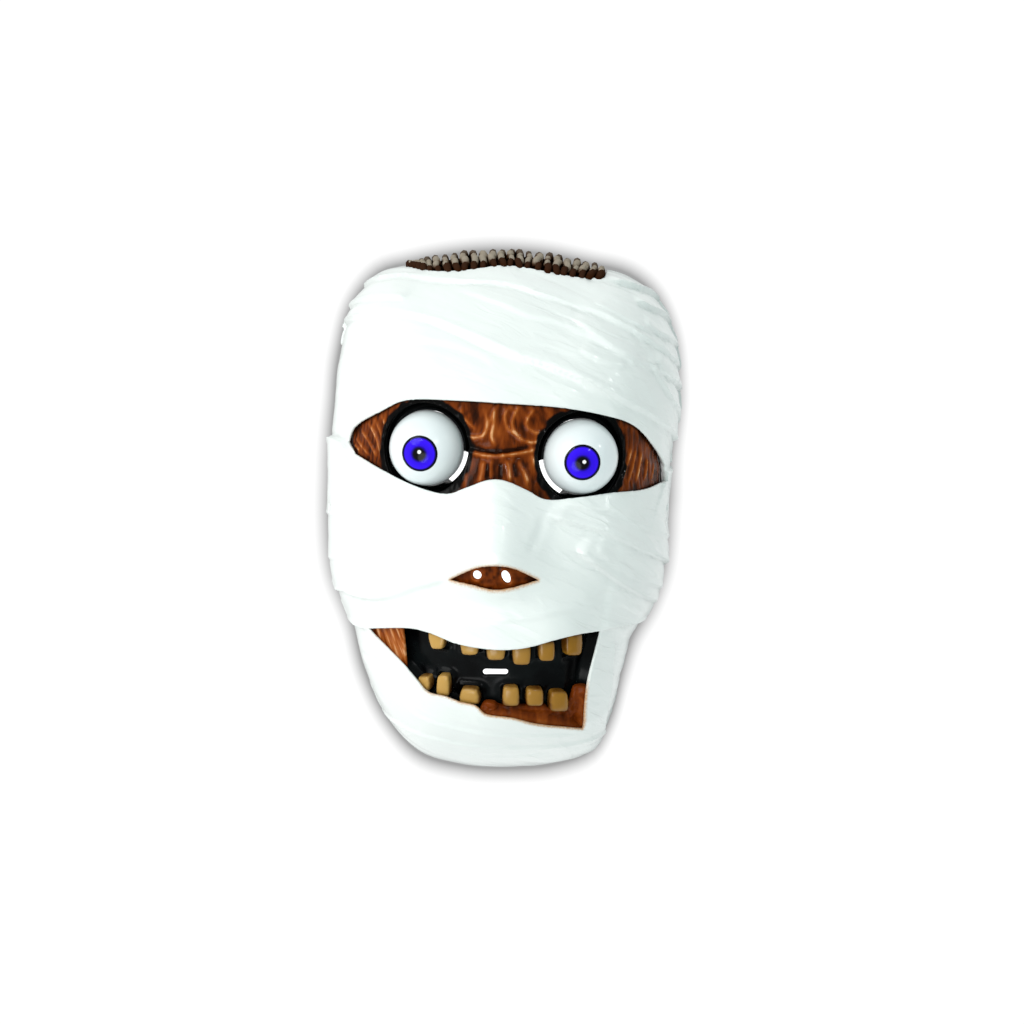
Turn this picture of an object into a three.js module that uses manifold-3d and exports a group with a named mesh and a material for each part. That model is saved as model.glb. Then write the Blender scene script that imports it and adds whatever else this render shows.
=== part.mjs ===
// A moulded plastic mummy mask: a hollow white shell of bandages with windows for the eyes, the nose
// and the mouth, and brown skin, black recesses, eyeballs, teeth and curly hair set in behind them.
// The mask lies face up on its rim. +Z points out of the face, +Y towards the hair and +X to the right
// of someone who looks at the face; left and right in the names are that viewer's.
// The origin is under the middle of the mask, in the plane of the rim.
import * as THREE from "three";
import { mergeVertices, toCreasedNormals } from "three/addons/utils/BufferGeometryUtils.js";
import Module from "manifold-3d";

const wasm = await Module();
wasm.setup();

// Driving sizes, in millimetres.
const maskWidth = 190; // across the cheekbones
const maskLength = 279; // chin to the top of the hair
const faceDepth = 82; // rim plane to forehead
const noseRise = 18; // nose above the face
const socketDip = 7; // hollow of the face around each eye
const shellWall = 1.8;
const wrapRise = 1.0; // how far a wrap stands off the shell
const wrapWidth = 24; // width of a raised band
const skinWall = 1.8;
const seatGap = 1.3; // clearance between a glued piece and the face that it is glued to
const edgeGap = 0.4; // clearance at the edge of a piece
const roomGap = 0.3; // the least clearance under the bandages, where the face curves tightly
const skinFlange = 7; // how far skin runs on behind the bandages
const wrinkleRise = 0.8;
const eyeballDiameter = 40.5;
const eyeballWall = 2.2;
const eyeballSink = 4; // the eyeball's centre below the face
const irisDiameter = 19;
const irisThickness = 1.0;
const irisGap = 0.3;
const socketDiameter = 49;
const socketWall = 2;
const socketDrop = 7.5; // the socket's floor below the eyeball's centre
const slitWidth = 2.3; // the crescent that the wearer looks through
const nostrilWidth = 4.8;
const nostrilLength = 6;
const mouthDepth = 10.5; // face to the black plate
const mouthMargin = 6.5; // how far the black plate runs on behind the bandages
const plateWall = 2;
const toothWidth = 10;
const toothLength = 11.4;
const toothInset = 3; // bandage face to tooth face
const toothBevel = 1.0;
const toothGap = 0.6; // between a tooth and the black plate
const slotLength = 13.5; // breathing slot in the black plate
const slotWidth = 2.7;
const lipHeight = 3.6; // gum above the black plate
const scalpFlange = 4; // how far the scalp runs on under the top wrap
const curlRise = 3.2; // hair above the scalp
const curlColumns = 16;
const curlRows = 2;
const strapHoleDiameter = 4;
const strapHoleHeight = 14; // above the rim

const halfWidth = maskWidth / 2;
const halfLength = maskLength / 2;
const eyeballRadius = eyeballDiameter / 2;

// The rim, going round, as shares of half the width and half the length.
const outline = [
  { across: 0.93, along: 0.0 },
  { across: 0.945, along: 0.2 },
  { across: 0.98, along: 0.45 },
  { across: 0.955, along: 0.64 },
  { across: 0.855, along: 0.805 },
  { across: 0.7, along: 0.895 },
  { across: 0.46, along: 0.935 },
  { across: 0.23, along: 0.967 },
  { across: 0.0, along: 0.979 },
  { across: -0.27, along: 0.968 },
  { across: -0.51, along: 0.938 },
  { across: -0.7, along: 0.9 },
  { across: -0.855, along: 0.775 },
  { across: -0.935, along: 0.58 },
  { across: -0.965, along: 0.38 },
  { across: -0.99, along: 0.15 },
  { across: -0.995, along: -0.04 },
  { across: -0.965, along: -0.24 },
  { across: -0.86, along: -0.43 },
  { across: -0.79, along: -0.62 },
  { across: -0.665, along: -0.8 },
  { across: -0.48, along: -0.94 },
  { across: -0.235, along: -0.99 },
  { across: 0.03, along: -1.0 },
  { across: 0.3, along: -0.983 },
  { across: 0.5, along: -0.925 },
  { across: 0.595, along: -0.81 },
  { across: 0.66, along: -0.64 },
  { across: 0.72, along: -0.5 },
  { across: 0.82, along: -0.38 },
  { across: 0.895, along: -0.24 },
  { across: 0.92, along: -0.11 },
];

// How boxy the face is across and along: the power of its rounding.
const acrossPower = 2.4;
const alongPower = 3.2;

// Bumps and hollows of the face: where, how wide and tall as shares of the half sizes, and how high
// as a share of their own size.
const relief = [
  { name: "brow", across: 0, along: 0.43, wide: 0.7, tall: 0.17, size: faceDepth, rise: 0.03 },
  { name: "left eye", across: -0.43, along: 0.22, wide: 0.27, tall: 0.15, size: socketDip, rise: -1 },
  { name: "right eye", across: 0.43, along: 0.19, wide: 0.27, tall: 0.15, size: socketDip, rise: -1 },
  { name: "nose bridge", across: -0.05, along: 0.06, wide: 0.19, tall: 0.17, size: noseRise, rise: 0.4 },
  { name: "nose ridge", across: -0.045, along: -0.11, wide: 0.23, tall: 0.14, size: noseRise, rise: 0.55 },
  { name: "nose tip", across: -0.05, along: -0.24, wide: 0.24, tall: 0.12, size: noseRise, rise: 0.55 },
  { name: "left cheek", across: -0.62, along: -0.1, wide: 0.22, tall: 0.16, size: faceDepth, rise: 0.035 },
  { name: "right cheek", across: 0.6, along: -0.12, wide: 0.22, tall: 0.16, size: faceDepth, rise: 0.035 },
  { name: "lips", across: -0.05, along: -0.56, wide: 0.4, tall: 0.14, size: faceDepth, rise: 0.05 },
  { name: "chin", across: 0, along: -0.83, wide: 0.28, tall: 0.12, size: faceDepth, rise: 0.09 },
];

// The windows in the bandages, each two curves that meet in corners, as shares of the half sizes.
const eyeWindow = [
  [[-0.885, 0.257], [-0.845, 0.315], [-0.7, 0.37], [-0.545, 0.413], [-0.25, 0.41],
    [0.0, 0.4], [0.3, 0.385], [0.56, 0.355], [0.74, 0.315], [0.86, 0.23], [0.915, 0.165]],
  [[0.915, 0.105], [0.8, 0.072], [0.6, 0.058], [0.42, 0.04], [0.24, 0.033], [0.13, 0.07],
    [0.0, 0.107], [-0.1, 0.107], [-0.22, 0.078], [-0.33, 0.055], [-0.5, 0.085], [-0.7, 0.15],
    [-0.85, 0.21]],
];
const noseWindow = [
  [[-0.305, -0.276], [-0.17, -0.235], [-0.06, -0.226], [0.06, -0.236], [0.195, -0.278]],
  [[0.195, -0.278], [0.07, -0.305], [-0.055, -0.318], [-0.17, -0.3]],
];
const mouthWindow = [
  [[-0.77, -0.466], [-0.55, -0.463], [-0.42, -0.482], [-0.28, -0.52], [-0.14, -0.54], [0.0, -0.547],
    [0.14, -0.537], [0.28, -0.51], [0.42, -0.487], [0.54, -0.476]],
  [[0.55, -0.476], [0.515, -0.57], [0.475, -0.68], [0.452, -0.845]],
  [[0.448, -0.854], [0.207, -0.838], [0.05, -0.812], [-0.1, -0.797], [-0.16, -0.762], [-0.25, -0.748],
    [-0.33, -0.727], [-0.43, -0.71], [-0.49, -0.668], [-0.57, -0.604], [-0.655, -0.546], [-0.72, -0.502]],
];
// The edge of the top wrap, where the hair starts.
const hairEdge = [[-0.565, 0.935], [-0.4, 0.905], [-0.2, 0.912], [0.0, 0.932], [0.2, 0.912], [0.4, 0.888],
  [0.56, 0.882]];
// Skin that shows in the mouth's corners: the cheek's free edge, and the gum's upper edge.
const cheekEdge = [[-0.59, -0.33], [-0.568, -0.47], [-0.552, -0.6], [-0.54, -0.75]];
const gumEdge = [[-0.14, -0.8], [-0.12, -0.75], [-0.03, -0.752], [0.06, -0.755], [0.26, -0.75],
  [0.42, -0.745], [0.455, -0.7], [0.5, -0.69]];

// The wraps: the edge that shows, as shares of the half sizes, and how wide the raised band beside
// it is at its start and its end, as shares of the wrap width. It lies to the left of the way the
// edge runs.
const wraps = [
  { name: "crown", start: 0.13, end: 0.83, edge: [[-0.425, 0.865], [-0.1, 0.845], [0.207, 0.8], [0.5, 0.74], [0.9, 0.59]] },
  { name: "forehead", start: 0.92, end: 0.83, edge: [[-0.96, 0.7], [-0.684, 0.745], [-0.28, 0.682], [0.034, 0.589],
    [0.494, 0.47], [0.97, 0.28]] },
  { name: "left cheek", start: 1, end: 0.13, edge: [[-1.0, -0.31], [-0.77, -0.351], [-0.54, -0.316], [-0.31, -0.27]] },
  { name: "right cheek", start: 0.13, end: 0.75, edge: [[0.322, -0.055], [0.552, -0.097], [0.81, -0.175], [0.98, -0.23]] },
  { name: "middle", start: 1.25, end: 1, edge: [[-1.0, -0.4], [-0.86, -0.42], [-0.77, -0.46], [-0.5, -0.462], [-0.28, -0.51],
    [0.0, -0.54], [0.28, -0.5], [0.5, -0.47], [0.72, -0.45], [0.9, -0.41]] },
  { name: "chin strap", start: 0.42, end: 0.54, edge: [[0.53, -0.93], [0.6, -0.7], [0.64, -0.49]] },
  { name: "chin", start: 0.83, end: 0.67, edge: [[0.62, -0.84], [0.4, -0.9], [-0.02, -0.905], [-0.42, -0.86], [-0.75, -0.72]] },
];

// The eyes: where each is, which way it looks as shares of its radius, and where its crescent starts
// and ends, in degrees round from the right.
const eyes = [
  { side: "left", across: -0.434, along: 0.23, lookAcross: -0.21, lookAlong: -0.17, slitFrom: -56, slitTo: -6 },
  { side: "right", across: 0.431, along: 0.197, lookAcross: 0.055, lookAlong: -0.18, slitFrom: 184, slitTo: 244 },
];

// The breathing slot's middle, as shares of the half sizes.
const slotAcross = -0.048;
const slotAlong = -0.631;

// The nostrils: where, how wide and long as shares of their sizes, and how far turned, in degrees.
const nostrils = [
  { across: -0.153, along: -0.258, wide: 1, long: 0.8, turn: 20 },
  { across: 0.014, along: -0.265, wide: 0.9, long: 1.15, turn: 25 },
];

// The teeth: middle as shares of the half sizes, width and length as shares of a tooth's, and taper
// towards the free end.
const teeth = [
  { name: "upper_tooth_1", across: -0.385, along: -0.503, wide: 0.97, long: 1.04, taper: 0.7 },
  { name: "upper_tooth_2", across: -0.196, along: -0.53, wide: 1.08, long: 0.95, taper: 0.85 },
  { name: "upper_tooth_3", across: -0.046, along: -0.55, wide: 1.08, long: 0.95, taper: 0.9 },
  { name: "upper_tooth_4", across: 0.101, along: -0.565, wide: 1.03, long: 1.04, taper: 0.92 },
  { name: "upper_tooth_5", across: 0.245, along: -0.55, wide: 0.92, long: 1.04, taper: 0.92 },
  { name: "upper_tooth_6", across: 0.402, along: -0.523, wide: 0.97, long: 1.14, taper: 0.92 },
  { name: "lower_tooth_1", across: -0.45, along: -0.673, wide: 0.6, long: 0.52, taper: 0.85 },
  { name: "lower_tooth_2", across: -0.35, along: -0.69, wide: 0.76, long: 1.05, taper: 0.85 },
  { name: "lower_tooth_3", across: -0.198, along: -0.73, wide: 1.13, long: 0.78, taper: 0.82 },
  { name: "lower_tooth_4", across: 0.04, along: -0.729, wide: 0.97, long: 0.95, taper: 0.9 },
  { name: "lower_tooth_5", across: 0.178, along: -0.733, wide: 0.97, long: 0.85, taper: 0.95 },
  { name: "lower_tooth_6", across: 0.316, along: -0.751, wide: 1.08, long: 0.99, taper: 0.9 },
];

// Wrinkles of the skin, each a raised line, as shares of the half sizes.
const wrinkleWidth = 2.4;
const wrinkles = [
  { name: "bridge left", line: [[-0.13, 0.25], [-0.145, 0.13]] },
  { name: "bridge middle", line: [[-0.06, 0.26], [-0.07, 0.13]] },
  { name: "bridge right", line: [[0.06, 0.25], [0.085, 0.12]] },
  { name: "frown left", line: [[-0.06, 0.39], [-0.1, 0.32], [-0.18, 0.34]] },
  { name: "frown right", line: [[0.02, 0.385], [0.05, 0.32], [0.14, 0.345]] },
  { name: "left corner", line: [[-0.7, 0.33], [-0.8, 0.25]] },
  { name: "right corner", line: [[0.71, 0.12], [0.77, 0.23]] },
];

// Fineness of the sheets and rounds.
const sheetColumns = 16;
const sheetRows = 23;
const middleSpacing = 0.7; // of the grid, where 1 is even
const skirt = 50; // how much further the flat pattern reaches than the rim, for the depth of the sides
const bow = 0.00025; // curve of the flat pattern, per millimetre, which keeps its grid through the cuts
const windowStep = 7.5; // length of a straight piece of a window's edge
const wrapStep = 18; // and of a wrap's
const hiddenStep = 18; // and of an edge that lies behind the bandages
const roundSides = 18;
const throughAll = 90;

const rim = outline
  .map(({ across, along }) => {
    const x = across * halfWidth;
    const y = along * halfLength;
    return { turn: Math.atan2(y, x), reach: Math.hypot(x, y) };
  })
  .sort((a, b) => a.turn - b.turn);

// Distance from the middle to the rim, smooth through the outline's points.
function rimReach(turn) {
  const count = rim.length;
  const knot = (k) => {
    const lap = Math.floor(k / count);
    const { turn: angle, reach } = rim[k - lap * count];
    return { turn: angle + lap * 2 * Math.PI, reach };
  };
  let next = rim.findIndex((point) => point.turn > turn);
  if (next < 0) next = count;
  const [before, from, to, after] = [next - 2, next - 1, next, next + 1].map(knot);
  const span = to.turn - from.turn;
  const s = (turn - from.turn) / span;
  const slopeFrom = (span * (to.reach - before.reach)) / (to.turn - before.turn);
  const slopeTo = (span * (after.reach - from.reach)) / (after.turn - from.turn);
  return (
    (2 * s ** 3 - 3 * s ** 2 + 1) * from.reach +
    (s ** 3 - 2 * s ** 2 + s) * slopeFrom +
    (3 * s ** 2 - 2 * s ** 3) * to.reach +
    (s ** 3 - s ** 2) * slopeTo
  );
}

const power = (turn) => acrossPower * Math.cos(turn) ** 2 + alongPower * Math.sin(turn) ** 2;

// Share of the way from the middle to the rim.
const shareOut = (x, y) => Math.hypot(x, y) / rimReach(Math.atan2(y, x));

// What is left of the rounding: 1 in the middle, 0 at the rim.
const left = (x, y) => Math.max(0, 1 - shareOut(x, y) ** power(Math.atan2(y, x)));

function bumps(x, y) {
  let sum = 0;
  for (const { across, along, wide, tall, size, rise } of relief) {
    const dx = (x / halfWidth - across) / wide;
    const dy = (y / halfLength - along) / tall;
    sum += size * rise * Math.exp(-dx * dx - dy * dy);
  }
  return sum * (1 - Math.min(1, shareOut(x, y)) ** 8);
}

const faceHeight = (x, y) => faceDepth * Math.sqrt(left(x, y)) + bumps(x, y);

// The way out of the face. The slopes are taken so that the wall stands upright at the rim.
function outward(x, y) {
  const step = 0.4;
  const c = Math.sqrt(left(x, y));
  const slope = (f, dx, dy) => (f(x + dx, y + dy) - f(x - dx, y - dy)) / (2 * step);
  const nx = -0.5 * faceDepth * slope(left, step, 0) - c * slope(bumps, step, 0);
  const ny = -0.5 * faceDepth * slope(left, 0, step) - c * slope(bumps, 0, step);
  return new THREE.Vector3(nx, ny, c).normalize();
}

// From the flat pattern to the face: (u, v) is a place on the pattern and w a depth under the face.
function formed(u, v, w) {
  const turn = Math.atan2(v, u);
  const share = Math.hypot(u, v) / (rimReach(turn) + skirt);
  const snapped = share > 0.9995 ? 1 : share;
  const bend = (snapped * Math.PI) / 2;
  const reach = Math.sin(bend) * rimReach(turn);
  const x = reach * Math.cos(turn);
  const y = reach * Math.sin(turn);
  if (snapped === 1) {
    const away = outwardAtRim(turn);
    return new THREE.Vector3(x - w * away.x, y - w * away.y, 0);
  }
  return new THREE.Vector3(x, y, faceHeight(x, y)).addScaledVector(outward(x, y), -w);
}

function outwardAtRim(turn) {
  const reach = rimReach(turn) * 0.9999;
  const away = outward(reach * Math.cos(turn), reach * Math.sin(turn));
  away.z = 0;
  return away.normalize();
}

// From a point of the face, seen from the front, to the flat pattern.
function flat(x, y) {
  const turn = Math.atan2(y, x);
  const bend = Math.asin(Math.min(1, shareOut(x, y)));
  const reach = (bend / (Math.PI / 2)) * (rimReach(turn) + skirt);
  return new THREE.Vector2(reach * Math.cos(turn), reach * Math.sin(turn));
}

// The point of the face under which, w deep, lies what is seen at (x, y) from the front.
function over(x, y, w) {
  let [px, py] = [x, y];
  for (let round = 0; round < 4; round++) {
    const away = outward(px, py);
    [px, py] = [x + w * away.x, y + w * away.y];
  }
  return [px, py];
}

// A smooth curve through points given as shares of the half sizes, cut into short straight pieces.
function smooth(shares, step) {
  const curve = new THREE.SplineCurve(
    shares.map(([across, along]) => new THREE.Vector2(across * halfWidth, along * halfLength)),
  );
  return curve.getSpacedPoints(Math.max(2, Math.round(curve.getLength() / step)));
}

// A line of the face on the flat pattern.
const flatLine = (shares, step = windowStep) => smooth(shares, step).map((p) => flat(p.x, p.y));

// Curves joined end to end into one closed outline on the flat pattern.
function flatLoop(curves, step = windowStep) {
  const points = curves.flatMap((shares) => flatLine(shares, step));
  return points.filter((p, k) => p.distanceTo(points[(k + 1) % points.length]) > 0.5);
}

// An outline moved outwards by a distance, with its sharp corners kept short.
function grown(loop, distance) {
  const turnsLeft = THREE.ShapeUtils.isClockWise(loop) ? -1 : 1;
  return loop.map((point, k) => {
    const before = loop[(k + loop.length - 1) % loop.length];
    const after = loop[(k + 1) % loop.length];
    const into = point.clone().sub(before).normalize();
    const out = after.clone().sub(point).normalize();
    const along = into.add(out).normalize();
    const miter = Math.max(0.8, Math.abs(along.dot(out)));
    return new THREE.Vector2(along.y, -along.x).multiplyScalar((turnsLeft * distance) / miter).add(point);
  });
}

// A closed three.js geometry as a solid for joining and cutting.
function solid(geometry) {
  const bare = geometry.clone();
  bare.deleteAttribute("normal");
  bare.deleteAttribute("uv");
  const merged = mergeVertices(bare, 1e-4);
  return new wasm.Manifold(
    new wasm.Mesh({
      numProp: 3,
      vertProperties: merged.attributes.position.array,
      triVerts: new Uint32Array(merged.index.array),
    }),
  );
}

// A solid as a three.js geometry.
function geometryOf(body) {
  const mesh = body.getMesh();
  return new THREE.BufferGeometry()
    .setAttribute("position", new THREE.BufferAttribute(mesh.vertProperties, 3))
    .setIndex(new THREE.BufferAttribute(mesh.triVerts, 1));
}

// A body of the flat pattern laid over the face.
function form(body) {
  const geometry = geometryOf(body);
  const position = geometry.attributes.position;
  for (let k = 0; k < position.count; k++) {
    const u = position.getX(k);
    const v = position.getY(k);
    const w = -position.getZ(k) - bow * (u * u + v * v);
    position.setXYZ(k, ...formed(u, v, w).toArray());
  }
  return solid(geometry);
}

// A closed sheet of the flat pattern between two depths, on a grid of places.
function gridSheet(columns, rows, place, outer, inner) {
  const positions = [];
  for (const depth of [outer, inner])
    for (let j = 0; j <= rows; j++)
      for (let i = 0; i <= columns; i++) {
        const { x: u, y: v } = place(i / columns, j / rows);
        positions.push(u, v, -depth(i / columns, j / rows) - bow * (u * u + v * v));
      }
  const layer = (columns + 1) * (rows + 1);
  const at = (i, j, low) => j * (columns + 1) + i + (low ? layer : 0);
  const faces = [];
  const quad = (a, b, c, d) => faces.push(a, b, c, a, c, d);
  for (let j = 0; j < rows; j++)
    for (let i = 0; i < columns; i++) {
      quad(at(i, j), at(i + 1, j), at(i + 1, j + 1), at(i, j + 1));
      quad(at(i, j, 1), at(i, j + 1, 1), at(i + 1, j + 1, 1), at(i + 1, j, 1));
    }
  for (let i = 0; i < columns; i++) {
    quad(at(i, 0, 1), at(i + 1, 0, 1), at(i + 1, 0), at(i, 0));
    quad(at(i, rows), at(i + 1, rows), at(i + 1, rows, 1), at(i, rows, 1));
  }
  for (let j = 0; j < rows; j++) {
    quad(at(0, j), at(0, j + 1), at(0, j + 1, 1), at(0, j, 1));
    quad(at(columns, j, 1), at(columns, j + 1, 1), at(columns, j + 1), at(columns, j));
  }
  return solid(
    new THREE.BufferGeometry()
      .setAttribute("position", new THREE.Float32BufferAttribute(positions, 3))
      .setIndex(faces),
  );
}

// The whole flat pattern between two depths. Its grid is a square bent to the rim's outline.
function fullSheet(outer, inner) {
  const closer = (share) => share * (middleSpacing + (1 - middleSpacing) * Math.abs(share));
  const place = (i, j) => {
    const a = 2 * i - 1;
    const b = 2 * j - 1;
    const wide = Math.abs(a) > Math.abs(b);
    const reach = closer(wide ? a : b);
    const angle = wide ? (Math.PI / 4) * (b / a) : Math.PI / 2 - (b ? (Math.PI / 4) * (a / b) : 0);
    const way = new THREE.Vector2(reach * Math.cos(angle), reach * Math.sin(angle));
    return way.multiplyScalar(rimReach(way.angle() > Math.PI ? way.angle() - 2 * Math.PI : way.angle()) + skirt);
  };
  return gridSheet(sheetColumns, sheetRows, place, () => outer, () => inner);
}

// An upright block over an outline of the flat pattern.
function block(loop, depth = throughAll) {
  const shape = new THREE.Shape(loop);
  const geometry = new THREE.ExtrudeGeometry(shape, { depth: 2 * depth, bevelEnabled: false, steps: 1 });
  return solid(geometry.translate(0, 0, -depth));
}

// The part of a sheet inside an outline.
const patch = (loop, outer, inner) => fullSheet(outer, inner).intersect(block(loop));

// A line of the flat pattern moved to its left, by a distance that changes evenly along it.
function moved(line, start, end) {
  return line.map((point, k) => {
    const way = line[Math.min(k + 1, line.length - 1)].clone().sub(line[Math.max(k - 1, 0)]).normalize();
    const distance = start + ((end - start) * k) / (line.length - 1);
    return new THREE.Vector2(-way.y, way.x).multiplyScalar(distance).add(point);
  });
}

// A band on the flat pattern beside a curve, or on both sides of it.
function band(shares, start, end, both = 0) {
  const line = flatLine(shares, wrapStep);
  return [...moved(line, -both * start, -both * end), ...moved(line, start, end).reverse()];
}

const sum = (bodies) => bodies.reduce((whole, body) => whole.add(body));

const cutOutline = {
  eye: flatLoop(eyeWindow),
  nose: flatLoop(noseWindow),
  mouth: flatLoop(mouthWindow),
  hair: pastRim(flatLine(hairEdge)),
};

// The field between a line and the rim, carried on well past the rim.
function pastRim(line) {
  return [...line, ...line.map((p) => p.clone().multiplyScalar(1.6)).reverse()];
}

// The windows again for what runs on behind the bandages, where a coarse edge will do.
const behindWindow = (curves, distance) => grown(flatLoop(curves, hiddenStep), distance);

const skinTop = shellWall + seatGap;
const skinBase = skinTop + skinWall;
const keepOut = -3 * wrapRise; // above everything on the face
const farOut = -1.5 * eyeballRadius; // above all of an eye's socket

// The room that the shell takes up with its clearance, as if it had no windows.
const shellRoom = form(fullSheet(keepOut, shellWall + roomGap));

// Where each eyeball's centre is, which way its socket faces, and which way it looks.
function eyePlace({ across, along, lookAcross, lookAlong }) {
  const x = across * halfWidth;
  const y = along * halfLength;
  const centre = new THREE.Vector3(x, y, faceHeight(x, y) - eyeballSink);
  const ahead = Math.sqrt(1 - lookAcross ** 2 - lookAlong ** 2);
  return { centre, facing: outward(x, y), look: new THREE.Vector3(lookAcross, lookAlong, ahead) };
}

const up = new THREE.Vector3(0, 0, 1);
const turnTo = (look) => new THREE.Matrix4().makeRotationFromQuaternion(new THREE.Quaternion().setFromUnitVectors(up, look));

// A body turned from a closed profile of [radius, height] points round an axis through a centre.
function turned(profile, centre, axis = up) {
  const points = profile.map(([r, z]) => new THREE.Vector2(r, z));
  if (THREE.ShapeUtils.area(points) < 0) points.reverse();
  const geometry = new THREE.LatheGeometry([...points, points[0]], roundSides);
  return solid(geometry.rotateX(Math.PI / 2).applyMatrix4(turnTo(axis)).translate(...centre.toArray()));
}

// Points of an arc about the origin, as [radius, height], between two angles from the axis.
function arc(radius, from, to, pieces) {
  return Array.from({ length: pieces + 1 }, (_, k) => {
    const angle = from + ((to - from) * k) / pieces;
    return [radius * Math.sin(angle), radius * Math.cos(angle)];
  });
}

const ballClearance = (eye) => {
  const radius = eyeballRadius + edgeGap;
  const { centre } = eyePlace(eye);
  return solid(new THREE.SphereGeometry(radius, roundSides, roundSides / 2)).translate(centre.toArray());
};

function eyeHole(eye) {
  const { centre, facing } = eyePlace(eye);
  const radius = socketDiameter / 2;
  return turned([[0, -eyeballDiameter], [radius, -eyeballDiameter], [radius, eyeballDiameter], [0, eyeballDiameter]], centre, facing);
}

function strapHoles() {
  const hole = new THREE.CylinderGeometry(strapHoleDiameter / 2, strapHoleDiameter / 2, 2 * maskWidth, 12);
  return solid(hole.rotateZ(Math.PI / 2).translate(0, 0, strapHoleHeight));
}

function bandageShell() {
  let shell = fullSheet(0, shellWall);
  for (const { edge, start, end } of wraps) {
    const raised = band(edge, start * wrapWidth, end * wrapWidth);
    shell = shell.add(patch(raised, -wrapRise, shellWall / 2));
  }
  for (const loop of Object.values(cutOutline)) shell = shell.subtract(block(loop));
  let body = form(shell);
  for (const eye of eyes) body = body.subtract(ballClearance(eye));
  return body.subtract(strapHoles());
}

function eyeSkin() {
  const sheet = patch(behindWindow(eyeWindow, skinFlange), skinTop, skinBase);
  const lines = wrinkles.map(({ line }) =>
    patch(band(line, wrinkleWidth / 2, wrinkleWidth / 2, 1), skinTop - wrinkleRise, skinTop + skinWall / 2),
  );
  let body = form(sum([sheet, ...lines])).subtract(shellRoom);
  for (const eye of eyes) body = body.subtract(eyeHole(eye));
  return body;
}

// What lies above the skin's underside, over the eyes.
function aboveSkin() {
  const loop = behindWindow(eyeWindow, skinFlange + 4 * socketWall);
  return form(patch(loop, farOut, skinBase + 2 * edgeGap));
}

// A cup round an eyeball, open in the middle, with a crescent to look through.
function eyeSocket(eye) {
  const { centre, facing } = eyePlace(eye);
  const inner = socketDiameter / 2;
  const outer = inner + socketWall;
  const mouthOfBall = Math.sqrt((eyeballRadius + edgeGap) ** 2 - socketDrop ** 2);
  const floorTop = -socketDrop;
  const floorBase = floorTop - socketWall;
  const high = 0.8 * eyeballRadius;
  const cup = turned(
    [[mouthOfBall, floorBase], [outer, floorBase], [outer, high], [inner, high], [inner, floorTop],
      [mouthOfBall, floorTop]],
    centre,
    facing,
  );
  return cup.subtract(slit(eye)).subtract(aboveSkin());
}

// The crescent beside an eyeball, as an upright block.
function slit(eye) {
  const { centre } = eyePlace(eye);
  const radius = eyeballRadius + slitWidth;
  const [from, to] = [eye.slitFrom, eye.slitTo].map(THREE.MathUtils.degToRad);
  const shape = new THREE.Shape().moveTo(0, 0).absarc(0, 0, radius, from, to).lineTo(0, 0);
  const geometry = new THREE.ExtrudeGeometry(shape, { depth: 2 * throughAll, bevelEnabled: false, curveSegments: 5 });
  return solid(geometry.translate(centre.x, centre.y, 0));
}

// A hollow ball, open at the back, with a shallow seat for its iris.
function eyeball(eye) {
  const { centre, facing, look } = eyePlace(eye);
  const back = 2.05; // the rim's angle from straight ahead
  const shell = [...arc(eyeballRadius, 0, back, 6), ...arc(eyeballRadius - eyeballWall, 0, back, 4).reverse()];
  const reach = irisDiameter / 2 + irisGap;
  const floor = eyeballRadius - irisThickness - irisGap;
  const seat = [...arc(floor, 0, Math.asin(reach / floor), 2), [reach, eyeballDiameter], [0, eyeballDiameter]];
  return turned(shell, centre, facing).subtract(turned(seat, centre, look));
}

function iris(eye) {
  const { centre, look } = eyePlace(eye);
  const radius = irisDiameter / 2;
  const floor = eyeballRadius - irisThickness;
  const top = arc(eyeballRadius, 0, Math.asin(radius / eyeballRadius), 2);
  const base = arc(floor, 0, Math.asin(radius / floor), 2).reverse();
  return turned([...top, ...base], centre, look);
}

function noseSkin() {
  let body = form(patch(behindWindow(noseWindow, skinFlange), skinTop, skinBase)).subtract(shellRoom);
  for (const { across, along, wide, long, turn } of nostrils) {
    const hole = new THREE.CylinderGeometry(0.5, 0.5, 4 * throughAll, 16)
      .rotateX(Math.PI / 2)
      .scale(wide * nostrilWidth, long * nostrilLength, 1)
      .rotateZ(THREE.MathUtils.degToRad(turn))
      .translate(across * halfWidth, along * halfLength, 0);
    body = body.subtract(solid(hole));
  }
  return body;
}

// The skin in the mouth window's left corner, from its free edge outwards.
function cheekField(gap) {
  const edge = flatLine(cheekEdge).map((p) => new THREE.Vector2(p.x + gap, p.y));
  const far = edge.map((p) => new THREE.Vector2(p.x - halfWidth, p.y)).reverse();
  return block([...edge, ...far]);
}

const cheekSheet = (grow, gap, outer, inner) =>
  patch(behindWindow(mouthWindow, mouthMargin + grow), outer, inner).intersect(cheekField(gap));

const cheekSkin = () => form(cheekSheet(0, 0, skinTop, skinBase)).subtract(shellRoom);

// The teeth on the flat pattern, each grown by a gap.
function toothBlocks(gap) {
  return sum(teeth.map((tooth) => block(toothLoop(tooth, gap))));
}

// A tooth's outline: a rounded block, narrower at its free end.
function toothLoop(tooth, gap) {
  const { name, wide, long, taper } = tooth;
  const w = (wide * toothWidth) / 2 + gap;
  const h = (long * toothLength) / 2 + gap;
  const free = name.startsWith("upper") ? -1 : 1;
  const corner = 0.36;
  const sides = [
    [-w, -h * (1 - corner)], [-w * (1 - corner), -h], [w * (1 - corner), -h], [w, -h * (1 - corner)],
    [w, h * (1 - corner)], [w * (1 - corner), h], [-w * (1 - corner), h], [-w, h * (1 - corner)],
  ];
  return sides.map(([a, b]) => {
    const narrow = b * free > 0 ? taper : 1;
    const [x, y] = over(tooth.across * halfWidth + a * narrow, tooth.along * halfLength + b, toothInset);
    return flat(x, y);
  });
}

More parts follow.
